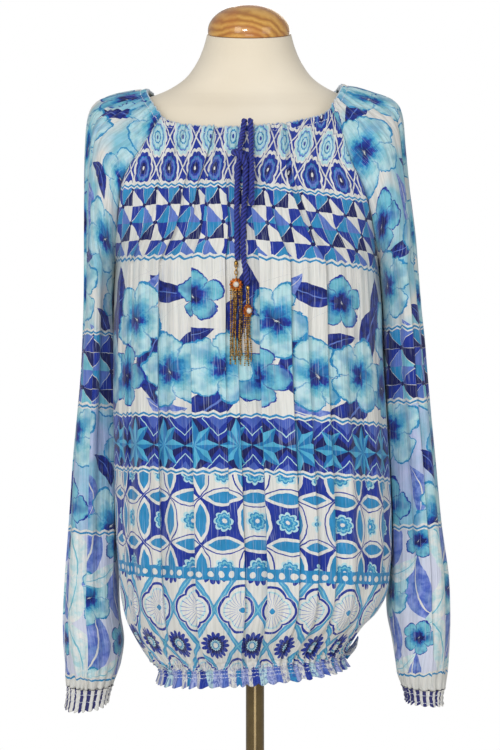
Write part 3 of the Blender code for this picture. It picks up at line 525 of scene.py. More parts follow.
def pinwheels(add, place, width, height, start, inks):
    """Blocks cut into eight triangles, as in a patchwork pinwheel, with a dot at each joint."""
    own, _ = cell(add, place, width, height, start)
    x, y, _ = add("SeparateXYZ", own).outputs
    turn = add("MapRange", add("Math ARCTAN2", y, x), -math.pi, math.pi, 0.0, 1.0)
    wheel = add("ValToRGB CONSTANT", turn,
                stops=[(k / 8, ink) for k, ink in enumerate(inks.split())])
    crease = add("Math LESS_THAN", add("Math PINGPONG", turn, 1 / 16), 0.0028)
    wheel = add("Mix RGBA", crease, wheel, "white")
    corner = add("VectorMath SUBTRACT", HALF, add("VectorMath ABSOLUTE", own))
    joint = add("Math MINIMUM", add("VectorMath LENGTH", corner), add("VectorMath LENGTH", own))
    return add("Mix RGBA", add("Math LESS_THAN", joint, 0.062), wheel, "indigo")


def compass_stars(add, place):
    """Eight-pointed stars, each point half light and half dark, on indigo."""
    tip, notch, step = 0.5, 0.27, math.tau / 16
    own, _ = cell(add, place, 58.0, 62.0, 346.0)
    x, y, _ = add("SeparateXYZ", own).outputs
    eighths = add("Math MULTIPLY_ADD", add("Math ARCTAN2", y, x), 0.5 / step, 8.0)
    part = add("Math FRACT", eighths)
    from_tip = add("Math MULTIPLY", add("Math PINGPONG", part, 0.5), 2 * step)
    # straight edges from each tip to the notch beside it
    to_notch = add("Math SUBTRACT", step, from_tip)
    rise = add("Math MULTIPLY", add("Math SINE", from_tip), tip)
    edge = add("Math MULTIPLY_ADD", add("Math SINE", to_notch), notch, rise)
    share = add("Math MULTIPLY", add("VectorMath LENGTH", own), edge)
    share = add("Math DIVIDE", share, tip * notch * math.sin(step))
    facet = add("Mix RGBA", add("Math GREATER_THAN", part, 0.5), "2479B4", "55ACD0")
    ground = add("ValToRGB CONSTANT", diamond_spread(add, own), stops=[
        (0.0, "indigo"), (0.55, "royal"), (0.66, "pale"), (0.68, "royal"), (0.80, "4A62B8")])
    return add("Mix RGBA", add("Math LESS_THAN", share, 1.0), ground, facet)


def linked_circles(add, place):
    """White petals where circles overlap, on royal and white squares with rosettes."""
    own, scaled = cell(add, place, 54.0, 54.0, 409.0)
    square = add("VectorMath FLOOR", add("VectorMath ADD", scaled, HALF))
    odd = add("Math FRACT", add("VectorMath DOT_PRODUCT", square, HALF))
    ink = add("Mix RGBA", add("Math GREATER_THAN", odd, 0.25), "royal", "white")
    folded = add("VectorMath ABSOLUTE", own)
    x, y, _ = add("SeparateXYZ", folded).outputs
    far_x = add("Math SUBTRACT", 0.5, add("Math MAXIMUM", x, y))
    far_y = add("Math ADD", 0.5, add("Math MINIMUM", x, y))
    reach = add("VectorMath LENGTH", add("CombineXYZ", far_x, far_y))
    for edge, code in ((0.705, "royal"), (0.68, "white"), (0.615, "turquoise")):
        ink = add("Mix RGBA", add("Math LESS_THAN", reach, edge), ink, code)
    beside = add("VectorMath SUBTRACT", HALF, folded)
    share, _ = petal_outline(add, beside, 8, 0.25, 0.8)
    rosette = add("ValToRGB CONSTANT", share, stops=[
        (0.00, "white"), (0.045, "turquoise"), (0.11, "aqua"), (0.15, "turquoise"),
        (0.185, "pale")])
    return add("Mix RGBA", add("Math LESS_THAN", share, 0.235), ink, rosette)


def hem_medallions(add, place):
    """Four-lobed medallions with fine spokes, and dark daisies between them, on off-white."""
    own, in_first, spread = half_drop(add, place, 68.0, 98.0, 515.0)
    stretched = add("VectorMath MULTIPLY", own, (1.0, 1.44, 0.0))
    share, _ = petal_outline(add, stretched, 4, 0.22, 0.8)
    disc = add("ValToRGB CONSTANT", share, stops=[
        (0.00, "turquoise"), (0.05, "white"), (0.30, "pale"), (0.33, "white"),
        (0.385, "royal"), (0.43, "white")])
    _, lobe = petal_outline(add, stretched, 24, 0.0, 1.0)
    spoke = add("Math MULTIPLY", add("Math LESS_THAN", lobe, 0.22),
                add("Math COMPARE", share, 0.20, 0.13))
    disc = add("Mix RGBA", spoke, disc, "periwinkle")
    petals, _ = petal_outline(add, stretched, 15, 0.30, 0.7)
    daisy = add("ValToRGB CONSTANT", petals, stops=[
        (0.00, "white"), (0.07, "turquoise"), (0.10, "pale"), (0.13, "indigo"), (0.20, "royal")])
    motif = add("Mix RGBA", in_first, daisy, disc)
    cover = add("Mix FLOAT", in_first, add("Math LESS_THAN", petals, 0.31),
                add("Math LESS_THAN", share, 0.445))
    edge = add("Math COMPARE", spread, 0.5, 0.012)
    beside = add("Math SUBTRACT", add("Math COMPARE", spread, 0.5, 0.055), edge)
    ground = add("Mix RGBA", beside, add("Mix RGBA", edge, "white", "aqua"), "4C9CCB")
    ink = add("Mix RGBA", cover, ground, motif)
    # a strip of dots runs above them
    own, _ = cell(add, place, 13.0, 13.0, 517.0)
    dot = add("Math LESS_THAN", add("VectorMath LENGTH", own), 0.27)
    strip = add("Mix RGBA", dot, "turquoise", "white")
    above = add("Math LESS_THAN", add("SeparateXYZ", place).outputs["Y"], 530 * MM)
    return add("Mix RGBA", above, ink, strip)


def zigzag_trim(add, place, below, at):
    """A white band with a turquoise zigzag, over a ground, at a height of the print."""
    x, y, _ = add("SeparateXYZ", place).outputs
    tooth, slope, band, stripe = 7.0 * MM, 0.38, 3.4 * MM, 1.2 * MM
    tooth = add("Math PINGPONG", x, tooth)
    line = add("Math ADD", y, add("Math MULTIPLY_ADD", tooth, slope, -at * MM))
    below = add("Mix RGBA", add("Math COMPARE", line, 0.0, band), below, "white")
    return add("Mix RGBA", add("Math COMPARE", line, 0.5 * MM, stripe), below, "turquoise")


def stitch_rows(add, ink, rows, sewing):
    """Lockstitches of pale thread along the rows of a seam; gives the ink and their height."""
    x, y, _ = sewing.outputs
    height = 0.0
    for row in rows:
        height = add("Math MAXIMUM", height, add("Math COMPARE", y, row * MM, THREAD * MM))
    dash = add("Math PINGPONG", x, STITCH / 2 * MM)
    dash = add("Math GREATER_THAN", dash, 0.15 * STITCH * MM)
    height = add("Math MULTIPLY", height, dash)
    return add("Mix RGBA", height, ink, "DDE2EE"), height


def crinkled_viscose(name, design, seed, rows):
    """Crinkle viscose with a printed design: matt, soft, with fine slubs down the warp."""
    mat, add = finish(name, Roughness=0.82, Sheen_Weight=0.22, Sheen_Roughness=0.45,
                      Specular_IOR_Level=0.28)
    flat = add("UVMap", uv_map="print")
    sewing = add("SeparateXYZ", add("UVMap", uv_map="sewing"))
    # hand-drawn edges: the print wanders by about a millimetre
    wander = add("TexNoise", flat, 55.0, 2.0, 0.5).outputs["Color"]
    wander = add("VectorMath SUBTRACT", wander, (0.5, 0.5, 0.5))
    place = add("VectorMath MULTIPLY_ADD", wander, (0.0055, 0.0055, 0.0), flat)
    ink = design(add, place)
    # washes of ink, thinner and thicker
    wash = add("TexNoise", flat, 60.0, 4.0, 0.6)
    red_wash = add("MapRange", wash, 0.30, 0.72, 0.62, 1.22)
    full_wash = add("MapRange", wash, 0.30, 0.72, 0.86, 1.10)
    wash = add("CombineColor", red_wash, full_wash, full_wash)
    printed = add("MapRange", add("SeparateColor", ink).outputs["Red"], 0.35, 0.66, 1.0, 0.12)
    ink = add("Mix RGBA", printed, ink, wash, blend_type="MULTIPLY")
    # warp slubs, 1 mm apart and 40 mm long, show paler
    warp = add("Mapping", flat, (seed, 0, 0), None, (950.0, 26.0, 1.0))
    slub = add("TexNoise", warp, 1.0, 2.0, 0.5)
    ink = add("Mix RGBA", add("MapRange", slub, 0.58, 0.70, 0.0, 0.42), ink, "C3CDE2")
    # the hem band and its frill are printed in blocks
    block = add("Math MULTIPLY", add("SeparateXYZ", place).outputs["X"], 1 / (HEM_BLOCK * MM))
    block = add("ValToRGB CONSTANT", add("Math FRACT", block), stops=[
        (0.0, "royal"), (0.13, "pale"), (0.27, "A3AEDC"), (0.43, "periwinkle"),
        (0.55, "white"), (0.70, "turquoise"), (0.80, "A3AEDC"), (0.92, "white")])
    mottle = add("MapRange", add("TexNoise", flat, 240.0, 3.0, 0.7), 0.49, 0.57, 0.0, 0.80)
    block = add("Mix RGBA", mottle, block, "3C55AC")
    banded = add("Math GREATER_THAN", sewing.outputs["Y"], (HEM_MARK + 10.0) * MM)
    ink = add("Mix RGBA", banded, ink, block)
    ink, thread = stitch_rows(add, ink, rows, sewing)
    # the neck edge is bound in off-white
    ink = add("Mix RGBA", add("Math LESS_THAN", sewing.outputs["Y"], 1.4 * MM), ink, "CAD7E4")
    # crinkle: 3 mm ridges down the cloth, under the threads; painted shade darkens the furrows
    # between them and a faint painted highlight lifts the ridges
    ridges = add("Mapping", flat, (seed, 0, 0), None, (330.0, 11.0, 1.0))
    crinkle = add("TexNoise", ridges, 1.0, 3.0, 0.6)
    crinkle_painted_shade = add("MapRange", crinkle, 0.34, 0.56, 0.86, 1.03)
    crinkle_painted_shade = add("CombineColor", crinkle_painted_shade, crinkle_painted_shade, crinkle_painted_shade)
    ink = add("Mix RGBA", 1.0, ink, crinkle_painted_shade, blend_type="MULTIPLY")
    return dyed(mat, ink, (crinkle, 0.85, 0.0016), (slub, 0.6, 0.0004), (thread, 0.8, 0.0006))


def striped_cuff_cloth():
    """The same viscose, printed in navy stripes down the cuff."""
    mat, add = finish("striped_crinkle_viscose", Roughness=0.82, Sheen_Weight=0.2)
    flat = add("UVMap", uv_map="print")
    wander = add("TexNoise", flat, 90.0, 2.0, 0.5)
    moved = add("Math MULTIPLY_ADD", wander, 0.004, add("SeparateXYZ", flat).outputs["X"])
    stripe = add("Math PINGPONG", moved, CUFF_CUT / CUFF_STRIPES / 2 * MM)
    ink = add("Mix RGBA", add("Math GREATER_THAN", stripe, 3.0 * MM), "white", "272A6A")
    sewing = add("SeparateXYZ", add("UVMap", uv_map="sewing"))
    ink, thread = stitch_rows(add, ink, CUFF_ROWS, sewing)
    warp = add("Mapping", flat, None, None, (900.0, 60.0, 1.0))
    slub = add("TexNoise", warp, 1.0, 3.0, 0.5)
    return dyed(mat, ink, (slub, 0.7, 0.0006), (thread, 0.8, 0.0006))


def blouse_designs():
    """The print of the body and of the sleeves, in bands from the neck down."""
    aqua_flower = five_petal_flower("aqua_flower", "pale", "aqua", "turquoise", "royal")
    blue_flower = five_petal_flower("blue_flower", "aqua", "turquoise", "royal", "indigo")
    royal_leaf = pointed_leaf("royal_leaf", "royal", "indigo", "periwinkle")
    soft_leaf = pointed_leaf("soft_leaf", "8C9EDC", "4C66BE", "white")
    white_leaf = pointed_leaf("white_leaf", "ECEBE8", "pale", "aqua")
    body_garden = [
        (royal_leaf, 12, 218, 50, 66), (royal_leaf, 92, 196, 34, 16),
        (royal_leaf, 152, 322, 52, -42), (royal_leaf, 192, 240, 48, 112),
        (soft_leaf, 84, 334, 30, 12), (royal_leaf, 66, 286, 44, 96),
        (royal_leaf, 128, 262, 34, 140), (soft_leaf, 58, 196, 30, -30),
        (aqua_flower, 42, 232, 46, 10), (aqua_flower, 98, 292, 46, 40),
        (blue_flower, 18, 298, 38, 0), (aqua_flower, 166, 288, 44, 70),
        (blue_flower, 138, 206, 31, 55),
    ]
    sleeve_garden = [
        (royal_leaf, 22, 26, 40, 60), (royal_leaf, 172, 138, 42, 78),
        (royal_leaf, 106, 70, 28, 20), (royal_leaf, 70, 160, 26, 130),
        (soft_leaf, 96, 14, 30, 100), (aqua_flower, 58, 52, 48, 10),
        (blue_flower, 146, 34, 38, 35), (aqua_flower, 136, 118, 50, 60),
        (aqua_flower, 34, 132, 36, 15),
    ]
    leaf_spray = [
        (soft_leaf, 30, 30, 52, 70), (white_leaf, 62, 34, 48, 110),
        (soft_leaf, 92, 84, 46, -70), (aqua_flower, 24, 86, 34, 0),
        (white_leaf, 66, 96, 42, 60), (blue_flower, 96, 24, 22, 30),
        (white_leaf, 8, 58, 30, 20),
    ]

    def stack(add, place, bands, trims):
        down = add("SeparateXYZ", place).outputs["Y"]
        ink = bands[0][1]
        for at, band in bands[1:]:
            ink = add("Mix RGBA", add("Math GREATER_THAN", down, at * MM), ink, band)
        for at in trims:
            ink = zigzag_trim(add, place, ink, at)
        return ink

    def body(add, place):
        wide = add("VectorMath MULTIPLY", place, (0.80, 1.0, 1.0))
        wheels = "white royal turquoise indigo white periwinkle turquoise royal"
        return stack(add, place, [
            (0, rosette_trellis(add, place)),
            (78, pinwheels(add, place, 48.0, 41.0, 80.0, wheels)),
            (163, strew(add, wide, "white", (204, 2000), body_garden)),
            (344, compass_stars(add, place)),
            (408, linked_circles(add, place)),
            (516, hem_medallions(add, place)),
        ], (77, 163, 343, 408))

    def sleeve(add, place):
        cloud = add("MapRange", add("TexNoise", place, 15.0, 2.0, 0.5), 0.42, 0.55, 0.0, 0.9)
        watery = add("Mix RGBA", cloud, "white", "7FC0D6")
        lilac = add("Mix RGBA", cloud, "BCC6E6", "8EC4DA")
        wheels = "royal periwinkle turquoise indigo royal periwinkle aqua indigo"
        return stack(add, place, [
            (-400, strew(add, place, watery, (190, 176), sleeve_garden)),
            (350, pinwheels(add, place, 45.0, 44.0, 351.0, wheels)),
            (440, strew(add, place, lilac, (190, 176), sleeve_garden)),
            (590, strew(add, place, "D2D6E8", (118, 116), leaf_spray)),
            (768, "white"),
        ], (349, 439, 590, 768))

    return body, sleeve


# =============================== the part's own surfaces ===============================
def smooth_rows(table, stations):
    """Rows of a table at fractional stations, on a smooth curve through its rows."""
    rows = np.asarray(table, dtype=float)
    t = np.asarray(stations, dtype=float)
    i = np.clip(np.floor(t).astype(int), 0, len(rows) - 2)
    u = (t - i)[:, None]
    before, after = rows[np.maximum(i - 1, 0)], rows[np.minimum(i + 2, len(rows) - 1)]
    a, b = rows[i], rows[i + 1]
    return 0.5 * (2 * a + (b - before) * u + (2 * before - 5 * a + 4 * b - after) * u ** 2
                  + (3 * a - before - 3 * b + after) * u ** 3)


def ring_points(rows, q, tube):
    """Points round sleeve sections: q runs from the front seam over the crest to the back one."""
    seam_x, seam_z, crest_x, crest_z, mid_y, depth, rise, gap = rows.T[:, :, None]
    gap = np.radians(np.where(tube[:, None], 0.0, np.maximum(gap, 0.0)))
    angle = gap + q * (2 * math.pi - 2 * gap)
    half = (seam_x - crest_x) / (1 + np.cos(gap))
    y = mid_y - depth * np.sin(angle)
    lean = rise / (2 * depth)
    fall = (seam_z - crest_z + lean * depth * np.sin(gap)) / ((1 + np.cos(gap)) / 2)
    z = crest_z + fall * (1 + np.cos(angle)) / 2 + lean * (y - mid_y)
    x = crest_x + half * (1 + np.cos(angle))
    return np.stack(np.broadcast_arrays(x, y, z), axis=-1)


def sleeve_surface(side, stations, q, clear=SLEEVE_CLEAR):
    """Sleeve sections; the tube below the armhole stands a little off the body."""
    rows = smooth_rows(SLEEVE[side], stations)
    rows[:, 0] += math.copysign(clear, rows[0, 0]) * np.clip(stations - UNDERARM + 1, 0, 1)
    return ring_points(rows, q, stations >= UNDERARM)


def cuff_surface(side, stations, q):
    return ring_points(smooth_rows(CUFF[side], stations), q, np.ones(len(stations), bool))


def panel_surface(panel, stations, s):
    """Body sections; s runs from the wearer's right seam to the left one."""
    front = panel == "front_panel"
    seam_q = np.array([0.0 if front else 1.0])
    grid = np.zeros((len(stations), len(s), 3))
    for i, t in enumerate(stations):
        if t < UNDERARM:
            front_y, front_z, back_y, back_z, arc, drop = smooth_rows(YOKE, [t])[0]
            right, left = (sleeve_surface(side, np.array([t]), seam_q, 0.0)[0, 0]
                           for side in ("right", "left"))
            fullness = 1.0 - 0.15 * t / UNDERARM
        else:
            row = smooth_rows(BODY, [t - UNDERARM])[0]
            right, left = np.array([row[0], 0.0, row[1]]), np.array([row[2], 0.0, row[3]])
            front_y, front_z, back_y, back_z = row[4:]
            arc, drop, fullness = 90.0, 1.0, 0.85
        mid_y, mid_z = (front_y, front_z) if front else (back_y, back_z)
        drop = drop if front else 1.0
        arc = math.radians(min(arc, 90.0))
        turn = (2 * s - 1) * arc
        bulge = np.clip((np.cos(turn) - math.cos(arc)) / (1 - math.cos(arc)), 0.0, None)
        across = (np.sin(turn) / math.sin(arc) + 1) / 2
        chord = (right + left) / 2
        grid[i] = right + (left - right) * across[:, None]
        grid[i, :, 1] += (mid_y - chord[1]) * bulge ** fullness
        grid[i, :, 2] += (mid_z - chord[2]) * bulge ** drop
    return grid


def run_along(points, axis):
    """Distance run along a grid's rows or columns."""
    steps = np.linalg.norm(np.diff(points, axis=axis), axis=-1)
    start = np.zeros_like(np.take(steps, [0], axis=axis))
    return np.concatenate([start, np.cumsum(steps, axis=axis)], axis=axis)


def stations_for(surface, last, spacing):
    """Stations whose rows lie at chosen distances: (up to, step) pairs, then back from the end."""
    fine = np.linspace(0, last, 500)
    middle = surface(fine, np.array([0.5]))[:, 0]
    run = run_along(middle, 0)
    at = [0.0]
    for end, step in spacing:
        end = end if end > 0 else run[-1] + end
        while at[-1] < end - step / 2:
            at.append(at[-1] + step)
    at = np.array(at) * run[-1] / at[-1]
    t = np.interp(at, run, fine)
    return np.union1d(t[np.abs(t - UNDERARM) > 0.04], [UNDERARM])


def column_grid(name, surface, t, cols):
    """Rows of points at the stations, closer together at the pleats; their shares and widths."""
    fine = np.linspace(0, 1, 901)
    points = surface(t, fine)
    run = run_along(points, 1)
    width = run[:, -1:]
    share = run / width
    even = np.ones_like(share)
    for at, side, _, _, start, end, drift in PLEATS.get(name, []):
        # columns crowd round the middle of the pleat's steep side
        _, away = beside_fold(t, share, at, start, end, drift)
        even += 2.4 * np.exp(-((away * width * side - 1.5) / 4.5) ** 2)
    even = np.cumsum(even, axis=1)
    even = (even - even[:, :1]) / (even[:, -1:] - even[:, :1])
    s = np.zeros((len(t), cols + 1))
    grid = np.zeros((len(t), cols + 1, 3))
    for i in range(len(t)):
        s[i] = np.interp(np.linspace(0, 1, cols + 1), even[i], share[i])
        for k in range(3):
            grid[i, :, k] = np.interp(s[i], share[i], points[i, :, k])
    return grid, s, width


def row_directions(grid, closed):
    """Steps along a grid's rows; closed rows wrap round."""
    along = np.gradient(grid, axis=1)
    along[closed, 0] = along[closed, -1] = (grid[:, 1] - grid[:, -2])[closed]
    return along


def unit(vectors):
    return vectors / np.maximum(np.linalg.norm(vectors, axis=-1, keepdims=True), 1e-9)


def laid_out(name, surface, t, cols, sign):
    """A piece's grid of points, and what the reliefs on it are worked out from."""
    grid, s, width = column_grid(name, surface, t, cols)
    closed = (t >= UNDERARM) & name.startswith("sleeve") | name.startswith("cuff")
    normals = unit(np.cross(row_directions(grid, closed), np.gradient(grid, axis=0)) * sign)
    return grid, s, width, closed, normals, run_along(grid, 0), run_along(grid, 1)


# =============================== folds, pleats and gathers ===============================
def beside_fold(t, s, at, start, end, drift):
    """How far along a fold each row lies, from 0 to 1, and each point's distance beside it."""
    part = np.clip((t - start) / (end - start), 0, 1)[:, None]
    return part, s - at - drift * part


def fold_relief(name, t, s):
    """Height in mm of the soft folds and creases at each place on a piece."""
    total = np.zeros_like(s)
    for at, right, left, depth, start, end, drift in FOLDS[name]:
        part, away = beside_fold(t, s, at, start, end, drift)
        side = np.where(away < 0, right, left)
        total += depth * np.exp(-(away / side) ** 2) * np.sin(np.pi * part) ** 1.2
    return total


def pleat_relief(name, t, s, width):
    """Height of the pleats, how far they lean sideways, and the cloth hidden in them, in mm."""
    lift, lean, hidden, taken = (np.zeros_like(s) for _ in range(4))
    for at, side, depth, tuck, start, end, drift in PLEATS[name]:
        part, away = beside_fold(t, s, at, start, end, drift)
        strength = np.sin(np.pi * part) ** 0.7
        away = away * width * side
        inside = np.clip(away / PLEAT_EDGE, 0, 1)
        inside = inside * inside * (3 - 2 * inside)
        # the crown falls away over some 9 mm on its open side, the trough over 12 mm
        before, after = np.minimum(away, 0), np.maximum(away - PLEAT_EDGE, 0)
        crown, trough = np.exp(-(before / 9) ** 2), np.exp(-(after / 12) ** 2)
        lift += depth * strength * (0.36 * crown * (1 - inside) - 0.64 * trough * inside)
        over, under = np.exp(before / 8) * (1 - inside), np.exp(-after / 6) * inside
        lean += side * depth * strength * (0.42 * over - 0.24 * under)
        passed = inside if side > 0 else 1 - inside
        hidden += tuck * strength * (passed - 0.5)
        taken += tuck * strength
    return lift, lean, hidden, taken


def gather_relief(s, away, count, height, reach, seed):
    """Uneven rounded ridges across a gathered edge, which die out away from it."""
    # each ridge has a width, a height and a reach of its own
    rng = np.random.default_rng(seed)
    widths = rng.uniform(0.55, 1.45, count)
    edges = np.concatenate([[0.0], np.cumsum(widths)]) / widths.sum()
    phase = np.interp(s, edges, np.arange(count + 1))
    knots = np.linspace(0, 1, count)
    heights = np.interp(s, knots, height * rng.uniform(0.6, 1.3, count))
    reaches = np.interp(s, knots, reach * rng.lognormal(0.0, 0.55, count))
    ridge = 2.0 * np.abs(np.sin(np.pi * phase)) ** 0.8 - 1.0
    return ridge * heights * np.exp(-away / reaches)


def drape_noise(t, s, seed):
    """Slow, shallow unevenness of hanging cloth, longer down than across."""
    rng = np.random.default_rng(seed)
    total = np.zeros_like(s)
    for _ in range(14):
        across, down = rng.integers(3, 16), rng.uniform(0.05, 0.35)
        phases = rng.uniform(0, math.tau, 2)
        wave = np.sin(math.tau * across * s + phases[0] + 2.2 * np.sin(down * t[:, None]))
        total += wave * np.sin(down * t[:, None] * 2.6 + phases[1]) * 1.8 / across ** 0.6
    return total * 0.45


def casing(down):
    """The drawstring's channel along the neckline: a soft ridge, then its row of stitches."""
    ridge = 0.7 * np.exp(-((down - CHANNEL_MIDDLE) / 2.6) ** 2)
    return ridge - 0.9 * np.exp(-((down - NECK_ROWS[0]) / 1.1) ** 2)


def sewn_edges(run):
    """Share of a relief that is left near both sewn edges, and the puff beside each seam."""
    edge = np.minimum(run, run[:, -1:] - run)
    held = 1 - np.exp(-(edge / SEAM_REACH) ** 2)
    return held, 1.1 * np.exp(-((edge - SEAM_REACH) / SEAM_REACH) ** 2) * held


def raised(grid, closed, normals, lift, lean, held, puff):
    """Moves a grid's points sideways by their lean and outwards by their lift."""
    grid += unit(row_directions(grid, closed)) * (lean * held)[..., None]
    grid += normals * (lift * held + puff)[..., None]


# =============================== pieces of cloth ===============================
def new_piece(name, points, faces, mat, **maps):
    """A smooth mesh from points in metres, with UV maps given for each corner of each face."""
    mesh = bpy.data.meshes.new(name)
    mesh.from_pydata(points.tolist(), [], faces)
    for title, values in maps.items():
        mesh.uv_layers.new(name=title).data.foreach_set("uv", values.ravel())
    mesh.shade_smooth()
    mesh.materials.append(mat)
    return in_scene(name, mesh)


def cloth_shell(name, grid, closed, flip, uv, sewing, mat):
    """A mesh through a grid of points with its print and sewing maps, given a wall inwards."""
    rows, cols = grid.shape[:2]
    corners = np.arange(rows * cols).reshape(rows, cols)
    index = corners.copy()
    index[closed, -1] = index[closed, 0]
    quads = [(i, j) for i in range(rows - 1) for j in range(cols - 1)]
    order = ((0, 0), (1, 0), (1, 1), (0, 1))[::-1 if flip else 1]
    faces, marks = (np.array([[table[i + a, j + b] for a, b in order] for i, j in quads])
                    for table in (index, corners))
    used, compact = np.unique(faces, return_inverse=True)
    points = grid.reshape(-1, 3)[used] * MM
    points[:, 0] += FORM_SHIFT * MM
    flat, sewn = (values.reshape(-1, 2)[marks.ravel()] * MM for values in (uv, sewing))
    piece = new_piece(name, points, compact.reshape(faces.shape).tolist(), mat,
                      print=flat, sewing=sewn)
    wall = piece.modifiers.new("wall", "SOLIDIFY")
    wall.thickness = CLOTH * MM
    wall.offset = -1.0
    wall.use_even_offset = False
    return piece


def body_panel(panel, mat):
    """Front or back: gathered to the neck, bloused over the shirred hem with its small frill."""
    back = panel == "back_panel"
    surface = partial(panel_surface, panel)
    t = stations_for(surface, HEM_EDGE, BODY_ROWS)
    grid, s, row_width, closed, normals, down, across = laid_out(
        panel, surface, t, BODY_COLS, 1 if back else -1)
    hem, frill_top = (down[int(np.argmin(np.abs(t - row)))] for row in (HEM_TOP, HEM_LOW))
    below_frill = np.maximum(down - frill_top, 0)
    part = below_frill / np.maximum(down[-1] - frill_top, 1.0)

    lift = gather_relief(s, down, *NECK_GATHERS[panel])
    lift += gather_relief(s, np.maximum(hem - down, 0) + 4 * below_frill, *HEM_GATHERS[panel])
    frill = gather_relief(s, 0.0, *FRILL_WAVES[panel]) * part
    lift += frill
    # shirring: rows of elastic pinch the hem band
    shirred = (down > hem - 1) & (down < frill_top + 1)
    lift += shirred * np.cos(math.tau * (down - hem) / SHIRRING)
    lift += casing(down)
    pleats, lean, hidden, taken = pleat_relief(panel, t, s, row_width)
    lift += pleats + fold_relief(panel, t, s) + drape_noise(t, s, DRAPE_SEED[panel])
    if back:
        turned_up = np.exp(-((s - FLIP_AT) / FLIP_HALF) ** 2)
        lift += turned_up * (FLIP_ROOT * np.sqrt(np.clip(part * 3, 0, 1))
                             + (FLIP_OUT - FLIP_ROOT) * part)
        grid[:, :, 2] += turned_up * FLIP_UP * part ** 1.3
    raised(grid, closed, normals, lift, lean, *sewn_edges(across))
    grid[:, :, 2] -= 0.6 * frill * (below_frill > 0)

    width = np.interp(t, BODY_CUT["station"], BODY_CUT["width"])[:, None]
    front_middle = panel_surface("front_panel", np.linspace(0, HEM_EDGE, 400), np.array([0.5]))
    fall = run_along(front_middle[:, 0], 0)
    below_neck = np.interp(-grid[:, :, 2], -front_middle[:, 0, 2], fall)
    below_neck += np.minimum(NECK_Z - grid[:, :, 2], 0)
    droop = PRINT_DROOP * np.clip((s - 0.45) / 0.5, 0, 1) ** 1.4
    uv = np.stack([(s - 0.5) * (width - taken) + hidden, below_neck - droop], axis=-1)
    from_hem = np.maximum(HEM_MARK + down - hem, 100)
    sewing = np.stack([across, np.where(down < 200, down, from_hem)], axis=-1)
    return cloth_shell(panel + "_cloth", grid, closed, back, uv, sewing, mat)


def sleeve(side, mat):
    """Raglan sleeve: gathered at the neck, full and straight, gathered again into its cuff."""
    name = "sleeve_" + side
    mirrored = 1 if side == "right" else -1
    surface = partial(sleeve_surface, side)
    t = stations_for(surface, SLEEVE_END, SLEEVE_ROWS)
    grid, q, row_width, closed, normals, down, across = laid_out(
        name, surface, t, SLEEVE_COLS, mirrored)
    lift = gather_relief(q, down, *NECK_GATHERS[name])
    lift += gather_relief(q, down[-1] - down, *CUFF_GATHERS[side])
    lift += casing(down)
    pleats, lean, hidden, taken = pleat_relief(name, t, q, row_width)
    lift += pleats + fold_relief(name, t, q) + 0.8 * drape_noise(t, q, DRAPE_SEED[name])
    tube = closed[:, None]
    held, puff = sewn_edges(across)
    raised(grid, closed, normals, lift, lean, np.where(tube, 1.0, held), np.where(tube, 0.0, puff))

    width = np.interp(t, SLEEVE_CUT["station"], SLEEVE_CUT["width"])[:, None]
    underarm = down[int(np.argmin(np.abs(t - UNDERARM)))]
    fall = down - underarm + underarm[SLEEVE_COLS // 2]
    uv = np.stack([((q - 0.5) * (width - taken) + hidden) * mirrored, fall], axis=-1)
    sewing = np.stack([across, np.minimum(down, 100)], axis=-1)
    return cloth_shell(name + "_cloth", grid, closed, side == "right", uv, sewing, mat)


def cuff(side, mat):
    """Elastic cuff: a short gathered tube whose edge waves a little."""
    t = np.linspace(0, len(CUFF[side]) - 1, CUFF_RINGS)
    right = side == "right"
    grid, q, _, closed, normals, down, _ = laid_out(
        "cuff", partial(cuff_surface, side), t, CUFF_COLS, 1 if right else -1)
    part = (t / 2)[:, None]
    count, height, _, seed = CUFF_GATHERS[side]
    ridges = gather_relief(q, 0.0, count, height, ENDLESS, seed)
    lift = ridges * (1.0 - 0.45 * np.sin(np.pi * part))
    lift += 0.5 * np.cos(math.tau * down / CUFF_SHIRRING)
    grid += normals * lift[..., None]
    grid[:, :, 2] -= ridges * 0.8 * part ** 2
    uv = np.stack([q * CUFF_CUT, down], axis=-1)
    return cloth_shell("cuff_" + side + "_cloth", grid, closed, right, uv, uv, mat)


# =============================== drawstrings and tassels ===============================
def twisted_rayon():
    """Rope of glossy rayon: royal blue, fibre lines along each strand, painted shade between them.
    """
    mat, add = finish("twisted_rayon_cord", Roughness=0.55, Sheen_Weight=0.1,
                      Specular_IOR_Level=0.4)
    flat = add("UVMap", uv_map="print")
    along = add("Mapping", flat, None, None, (7.0, 260.0, 1.0))
    fibre = add("TexNoise", along, 1.0, 3.0, 0.6)
    tone = add("ValToRGB", fibre, stops=[(0.30, "1D2378"), (0.55, "2A369A"), (0.75, "4A5CBE")])
    # painted shade: the rope's strands are darkened where they meet
    valley_shade_mask = add("MapRange", add("SeparateXYZ", flat).outputs["X"], 0.35, 0.95, 0.0, 0.92)
    return dyed(mat, add("Mix RGBA", valley_shade_mask, tone, "0D0F3C"), (fibre, 0.7, 0.0003))


def front_solid_face():
    """Ray-casts the solid front, to lay cords and tassels where the part has them."""
    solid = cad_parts["front_panel"].data
    tree = BVHTree.FromPolygons([v.co for v in solid.vertices],
                                [tuple(face.vertices) for face in solid.polygons])

    def face(x, z, reach=5.0):
        found = []
        for dx in (-4.0, 0.0, 4.0):
            for dz in (-reach, 0.0, reach):
                hit = tree.ray_cast(Vector((x + dx, -400.0, z + dz)) * MM, Vector((0, 1, 0)))[0]
                if hit is not None:
                    found.append(hit.y / MM)
        return min(found)
    return face


def cord_path(name, face):
    """Points in mm along a cord's smooth route, evenly spaced."""
    route = []
    for x, z, lift in CORDS[name]:
        y = face(x + FORM_SHIFT, min(z, NECK_Z - 4.0)) - lift - 1.0
        route.append((x + FORM_SHIFT, y, z))
    fine = smooth_rows(route, np.linspace(0, len(route) - 1, 900))
    run = run_along(fine, 0)
    at = np.linspace(0, run[-1], int(run[-1] / CORD_STEP))
    return np.stack([np.interp(at, run, fine[:, k]) for k in range(3)], axis=-1)


